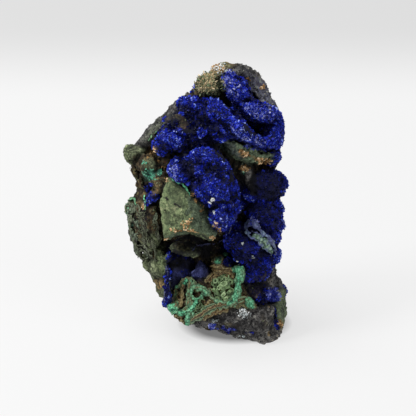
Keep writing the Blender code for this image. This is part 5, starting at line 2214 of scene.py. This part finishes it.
# The swoosh and the fluff below it, the cup round the rosette, its neck and beads, the fan on the right, the
# arch, the ear on the left, and the mint strands that run down to the foot.
BANDS = CurlSheet(
    "malachite_bands",
    (
        Curl(((-5.7, -40.5), (-3.5, -38.9), (-0.7, -36.9), (2.9, -35.2), (5.9, -34.5), (8.4, -34.5)), 1.6,
            1.0, 0.4, -0.5, 0.62),
        Curl(((9.5, -21.9), (11.7, -22.3), (12.1, -24.1), (11.5, -26.1), (10.9, -27.9), (10.5, -30.5),
            (9.6, -32.7), (7.8, -34.2)), 1.45, 1.2, 0.7, 0.75, 0.8),
        Curl(((7.4, -34.0), (4.4, -33.9), (2.2, -33.0), (0.8, -31.4), (0.4, -29.6)), 1.15, 0.9, 0.5, 0.1,
            0.7),
        Curl(((3.3, -18.2), (3.7, -18.2)), 2.2, 1.6, 3.2, 0.05, 0.6),
        Curl(((10.4, -23.2), (10.2, -25.0), (9.8, -26.6)), 0.7, 0.8, 0.6, 0.5, 1.0),
        Curl(((5.6, -16.8), (6.2, -16.6)), 0.85, 0.9, 1.8, 0.6),
        Curl(((3.4, -19.4), (3.8, -19.3)), 0.95, 0.9, 4.0, 1.2),
        Curl(((8.5, -35.3), (9.5, -33.7), (11.1, -32.5), (13.1, -32.2), (15.0, -32.9), (16.5, -34.5),
            (17.0, -35.8)), 0.75, 0.9, 0.8, 0.1, 1.0),
        Curl(((9.5, -35.7), (10.7, -34.2), (12.3, -33.4), (13.9, -33.8), (15.1, -35.0), (15.5, -36.0)),
            0.75, 0.8, 0.6, 0.0, 1.0),
        Curl(((10.7, -35.9), (11.9, -34.8), (13.1, -34.9), (13.9, -35.9)), 0.7, 0.7, 0.4, -0.1, 1.0),
        Curl(((14.4, -33.4), (15.3, -34.2), (15.9, -35.2)), 1.35, 0.8, 1.2, 0.95, 0.9),
        Curl(((-6.0, -30.9), (-5.9, -29.3), (-4.6, -28.4), (-2.9, -28.4), (-1.5, -29.1), (-0.5, -30.3),
            (0.1, -31.4)), 1.1, 1.0, 0.9, 0.45, 1.3),
        Curl(((-6.0, -31.2), (-5.0, -32.4), (-3.6, -32.8), (-2.6, -32.0)), 0.85, 0.9, 0.8, 0.5, 1.0),
        Curl(((-4.2, -29.8), (-3.0, -29.4), (-1.9, -30.2), (-2.0, -31.6)), 0.55, 0.7, 0.5, 0.2, 1.0),
        Curl(((-11.1, -35.6), (-11.6, -33.6), (-11.8, -31.4), (-11.4, -29.4), (-10.1, -27.6), (-8.8, -26.0),
            (-7.2, -25.3), (-5.6, -25.6), (-4.6, -26.9)), 0.7, 0.9, 0.6, 0.0, 1.0),
        Curl(((-6.5, -26.8), (-7.0, -28.7), (-7.5, -31.0), (-7.2, -33.0), (-7.7, -35.6), (-8.8, -36.9)),
            0.75, 0.9, 0.5, 0.2, 1.0),
        Curl(((-5.2, -27.1), (-5.6, -29.1), (-6.3, -31.4), (-6.0, -34.3), (-6.6, -35.8)), 0.65, 0.8, 0.4,
            0.1, 1.0),
        Curl(((-8.0, -26.1), (-8.3, -27.4)), 0.6, 0.8, 1.2, 0.9, 0.6),
        Curl(((-11.4, -28.7), (-11.2, -28.5)), 0.8, 0.8, 0.7, 0.7),
        Curl(((-12.0, -31.3), (-11.8, -31.1)), 0.65, 0.7, 0.6, 0.3),
        Curl(((-8.8, -36.9), (-8.4, -35.6), (-7.7, -35.2), (-7.3, -36.2), (-8.0, -37.0)), 0.38, 0.5, 1.1,
            0.3, 0.6),
        Curl(((-4.2, -33.4), (-5.0, -34.8), (-5.8, -36.0)), 0.8, 0.9, 0.8, 0.9, 0.8),
        Curl(((-5.8, -36.2), (-7.4, -37.2), (-9.6, -37.8)), 1.15, 1.0, 0.7, 0.85, 1.2),
        Curl(((-7.1, -37.8), (-7.4, -39.5), (-7.5, -41.6)), 1.1, 1.0, 0.6, 0.85, 1.2),
        Curl(((-5.9, -37.6), (-5.3, -39.0), (-5.1, -40.2)), 0.8, 0.7, 0.6, 0.6, 1.0),
        Curl(((-13.8, -35.7), (-12.6, -35.4), (-11.2, -35.8)), 1.25, 0.9, 0.4, 0.85, 1.3),
        Curl(((-12.6, -37.5), (-11.4, -37.4), (-10.4, -38.2)), 0.95, 0.6, 0.3, 0.45, 1.3),
    ),
    MALACHITE,
)
BROWN_CURLS = CurlSheet(
    "brown_curls",
    (
        Curl(((-0.9, -39.5), (1.5, -38.1), (3.7, -37.2), (6.9, -36.8)), 1.0, 0.7, 0.0, -0.3, 0.7),
        Curl(((-4.2, -34.6), (-2.4, -36.2), (-0.6, -35.0), (0.6, -33.6)), 0.9, 0.5, -0.2, -0.4, 0.7),
        Curl(((1.4, -20.9), (3.9, -20.8), (6.5, -21.4), (9.0, -22.0)), 0.95, 1.0, 0.8, 0.0, 1.0),
        Curl(((2.4, -22.6), (5.2, -22.9), (8.4, -23.5), (9.0, -25.1)), 1.0, 0.8, 0.5, -0.4, 1.0),
        Curl(((1.6, -24.2), (3.8, -24.4), (6.4, -24.9), (8.0, -25.6)), 0.8, 0.6, 0.3, -0.3, 1.0),
        Curl(((-0.9, -26.4), (0.1, -26.2), (1.0, -25.2), (1.8, -24.2)), 0.95, 1.0, 0.5, -0.2, 0.7),
        Curl(((-8.8, -28.1), (-9.5, -30.4), (-9.5, -33.0), (-9.8, -35.6)), 0.85, 0.8, 0.3, -0.2, 1.0),
        Curl(((-10.8, -30.4), (-11.0, -32.7), (-10.5, -35.0)), 0.7, 0.6, 0.3, -0.3, 1.0),
        Curl(((-11.6, -38.8), (-10.1, -39.6), (-8.8, -40.9)), 0.8, 0.6, 0.2, -0.1, 1.0),
    ),
    BROWN_BANDS, broken=0.45, wander=0.5, grain=0.4,
)
FLECK = CurlSheet(
    "white_fleck",
    (Curl(((1.5, 3.1), (2.1, 3.0)), 0.8, 0.8, 0.6), Curl(((0.7, 1.7), (0.9, 1.7)), 0.42, 0.5, 0.5)),
    CHALK,
)
MINT_LINES = CurlSheet(
    "mint_lines",
    (
        Curl(((-12.8, 10.5), (-11.4, 9.5), (-8.6, 7.9), (-6.4, 4.8)), 0.42, 0.35, 0.1, 0.9),
        Curl(((0.2, -3.2), (1.2, -5.0), (2.6, -7.4)), 0.3, 0.3, 0.1, 0.6),
        Curl(((-23.2, 4.4), (-22.6, 2.0), (-22.9, -0.4)), 0.35, 0.4, 0.1, 0.8),
        Curl(((-21.2, 24.0), (-20.2, 26.2), (-18.6, 27.4)), 0.28, 0.3, 0.1, 0.5),
        Curl(((-28.6, 2.6), (-27.6, 3.6), (-26.4, 3.0), (-26.2, 1.2)), 0.4, 0.5, 0.2, 0.7),
        Curl(((-28.9, 0.6), (-28.6, -3.0), (-28.0, -7.0), (-27.0, -11.4)), 0.42, 0.4, 0.1, 0.8),
    ),
    MALACHITE,
)
# Weathered rock with malachite in its wrinkles: olive, with painted shade in the gaps.
OLIVE_BANDS = BandFinish("banded_olive_rock", ((0.0, "#17150f"), (0.3, "#38382a"), (0.6, "#525842"),
    (0.85, "#7a846a"), (1.0, "#3c3626")), ((0.15, "#2c362a"), (0.5, "#5a6c58"), (1.0, "#9ab29a")),
    gap="#16130d")
FLANK = CurlSheet(
    "flank_ridges",
    (
        Curl(((-28.4, -2.2), (-28.7, 0.2), (-27.9, 1.6), (-27.1, 0.8), (-27.3, -1.2)), 0.75, 0.7, 0.0, 0.2,
            1.0),
        Curl(((-28.4, -2.6), (-28.0, -6.5), (-27.2, -10.5), (-26.4, -14.0), (-24.6, -17.2)), 0.95, 0.9, 0.0,
            0.1, 1.0),
        Curl(((-27.0, -4.0), (-26.0, -5.4), (-25.2, -7.2), (-25.9, -9.4), (-26.4, -11.4)), 0.6, 0.7, 0.2,
            0.3, 1.0),
        Curl(((-25.4, 1.0), (-25.0, -2.4), (-24.2, -6.0), (-23.4, -10.0), (-22.4, -13.0)), 0.95, 0.4, 0.0,
            -0.5, 1.6),
        Curl(((-23.4, -2.0), (-22.8, -6.0), (-21.8, -10.4), (-20.6, -13.4)), 0.95, 0.4, 0.0, -0.6, 1.6),
        Curl(((-18.6, -2.4), (-18.9, -5.4), (-18.4, -8.6), (-17.8, -11.0)), 0.8, 0.7, 0.0, 0.0, 1.2),
        Curl(((-19.8, -11.4), (-19.4, -15.0), (-18.9, -19.0)), 0.7, 0.7, 0.1, -0.1, 1.0),
        Curl(((-25.2, -15.8), (-23.6, -15.3), (-22.0, -16.8), (-22.8, -18.8), (-24.2, -18.0)), 0.55, 0.7,
            0.2, 0.1, 1.0),
        Curl(((-25.6, -13.4), (-23.8, -13.6), (-21.8, -15.0), (-20.6, -18.0)), 0.6, 0.7, 0.1, -0.2, 1.0),
    ),
    OLIVE_BANDS, depth=2.2, wander=0.55, grain=0.5,
)
VEINS = CurlSheet(
    "violet_veins",
    (
        Curl(((8.4, -7.3), (7.2, -9.4), (6.0, -10.9), (2.9, -12.7), (-1.2, -13.2), (-4.2, -13.9),
            (-6.6, -16.2)), 0.32, 0.4, 0.2, -0.2, 0.7),
        Curl(((-15.0, -21.4), (-14.5, -24.0), (-14.7, -27.0), (-15.6, -31.0), (-15.8, -34.0)), 0.42, 0.5,
            0.1, -0.3, 0.7),
    ),
    GREY_VEIN, broken=0.2,
)
# Painted shade: near-black strips on the sage stone where it is cracked.
BOULDER_SLIT_SHADE = CurlSheet(
    "boulder_slit_shade",
    (
        Curl(((-12.1, 1.5), (-11.0, 1.1), (-9.9, 0.4)), 0.3, 0.05, 0.12),
        Curl(((-15.9, -0.9), (-15.5, -1.0)), 0.4, 0.05, 0.1),
        Curl(((-15.1, 3.6), (-14.6, 3.0)), 0.4, 0.05, 0.1),
    ),
    CRACK_SHADE_FINISH, wander=0.2, grain=0.02, broken=0.0,
)
FIN = CurlSheet(
    "pale_fin",
    (
        Curl(((14.6, -5.6), (16.2, -5.6), (17.8, -7.0)), 1.4, 0.9, 1.0, 0.0, 1.0),
        Curl(((17.8, -6.8), (19.6, -8.8), (21.6, -10.6), (23.3, -12.6), (24.1, -14.6), (24.3, -16.4)), 0.65,
            0.9, 1.0, 0.1, 0.8),
        Curl(((13.7, -6.4), (14.0, -8.8), (15.7, -10.7), (18.3, -12.5), (20.7, -14.8), (22.8, -16.9)), 0.5,
            0.8, 0.7, 0.2, 0.8),
        Curl(((16.8, -10.0), (18.8, -11.2), (20.8, -12.8), (22.8, -15.4)), 1.3, 0.8, 0.8, 0.9, 1.0),
        Curl(((15.4, -8.4), (17.0, -8.9), (18.6, -9.6)), 0.34, 0.5, 1.0, 0.2, 0.7),
    ),
    DRUSY_EDGE, wander=0.5, grain=0.4,
)

# Malachite grown as tiny rolls: pale green with a waxy sheen.
WORM_FINISH = CrystalFinish("malachite_worms", ((0.0, "#44563a"), (0.4, "#748f60"), (0.75, "#9ab684"),
    (1.0, "#c6d6aa")), 0.5, 0.35)
ROSETTE = patches((Mineral.TEAL, (5.4, -28.8, 3.9, 4.2)))
FLUFF = Spot(Mineral.TEAL, -3.2, -35.2, 2.6, 2.4)
ROSETTE_RINGS = Scatter(
    "rosette_rings",
    arc_grain(360, 0.2, 10, 6),
    WORM_FINISH, 34, 1.3, 2.0, 1.4, 0.25, 401, spots=ROSETTE, lift=0.9,
)
ROSETTE_ARCS = Scatter(
    "rosette_arcs",
    arc_grain(200, 0.2, 8, 6),
    WORM_FINISH, 70, 1.1, 2.1, 1.4, 0.3, 402, spots=(*ROSETTE, FLUFF), lift=0.7,
)

PIECES = (
    DRUSE, FINE_DRUSE, DRUSE_BEHIND, GRIT, OLIVE_GRIT, CRUMBS, MINT_BITS, PALE_BITS, SPARKLES, NEEDLES,
    BANDS, BROWN_CURLS, FLECK, BOULDER_SLIT_SHADE, MINT_LINES, FLANK, VEINS, FIN, ROSETTE_RINGS, ROSETTE_ARCS,
)

STUDIO = Studio(
    (
        Lamp("overhead", (-0.3, 0.1, 1.1), 0.7, 12.0),
        Lamp("key", (-0.75, -0.3, 0.8), 0.3, 6.0),
        Lamp("fill", (0.8, -0.5, 0.6), 0.6, 2.6),
    ),
    sky_strength=0.2,
)


def main() -> None:
    """Builds the rock, what grows on it, and the studio."""
    logging.basicConfig(level=logging.INFO, format="%(relativeCreated)6d ms %(message)s")
    rock = Rock(
        groups=(
            Growing(Mineral.BROWN, 2.0, (BODY_CORE,)),
            *block_groups(),
            Growing(Mineral.GRANULAR, 1.4, (*GRANULAR_KNOBS, SLOPE_BAND)),
            Growing(Mineral.BROWN, 1.4, BROWN_KNOBS),
            Growing(Mineral.TAN, 1.2, TAN_KNOBS),
            Growing(Mineral.OLIVE, 1.2, OLIVE_KNOBS),
            Growing(Mineral.GRANULAR, 1.0, (CRAG, FOOT), 0.25),
            Growing(Mineral.AZURITE, 1.7, AZURITE_KNOBS),
            Growing(Mineral.INDIGO, 1.0, (MOUND,), 0.3),
            Growing(Mineral.SLATE, 0.8, (LEDGE,), 0.4),
            Growing(Mineral.SAGE, 0.6, (BOULDER,), 0.1),
            Growing(Mineral.MALACHITE, 0.8, (CURL_BED,)),
            Growing(Mineral.OLIVE, 1.2, (LEFT_RIM,)),
            Growing(Mineral.AZURITE, 0.8, (VIOLET_RIM, FLANK_VEIN)),
        ),
        hollows=HOLLOWS,
        reliefs=RELIEFS,
        spots=SPOTS,
        finish=ROCK_FINISH,
    )
    rock.build()
    for piece in PIECES:
        piece.build(rock.surface)
    STUDIO.build()


if __name__ == "__main__":
    main()
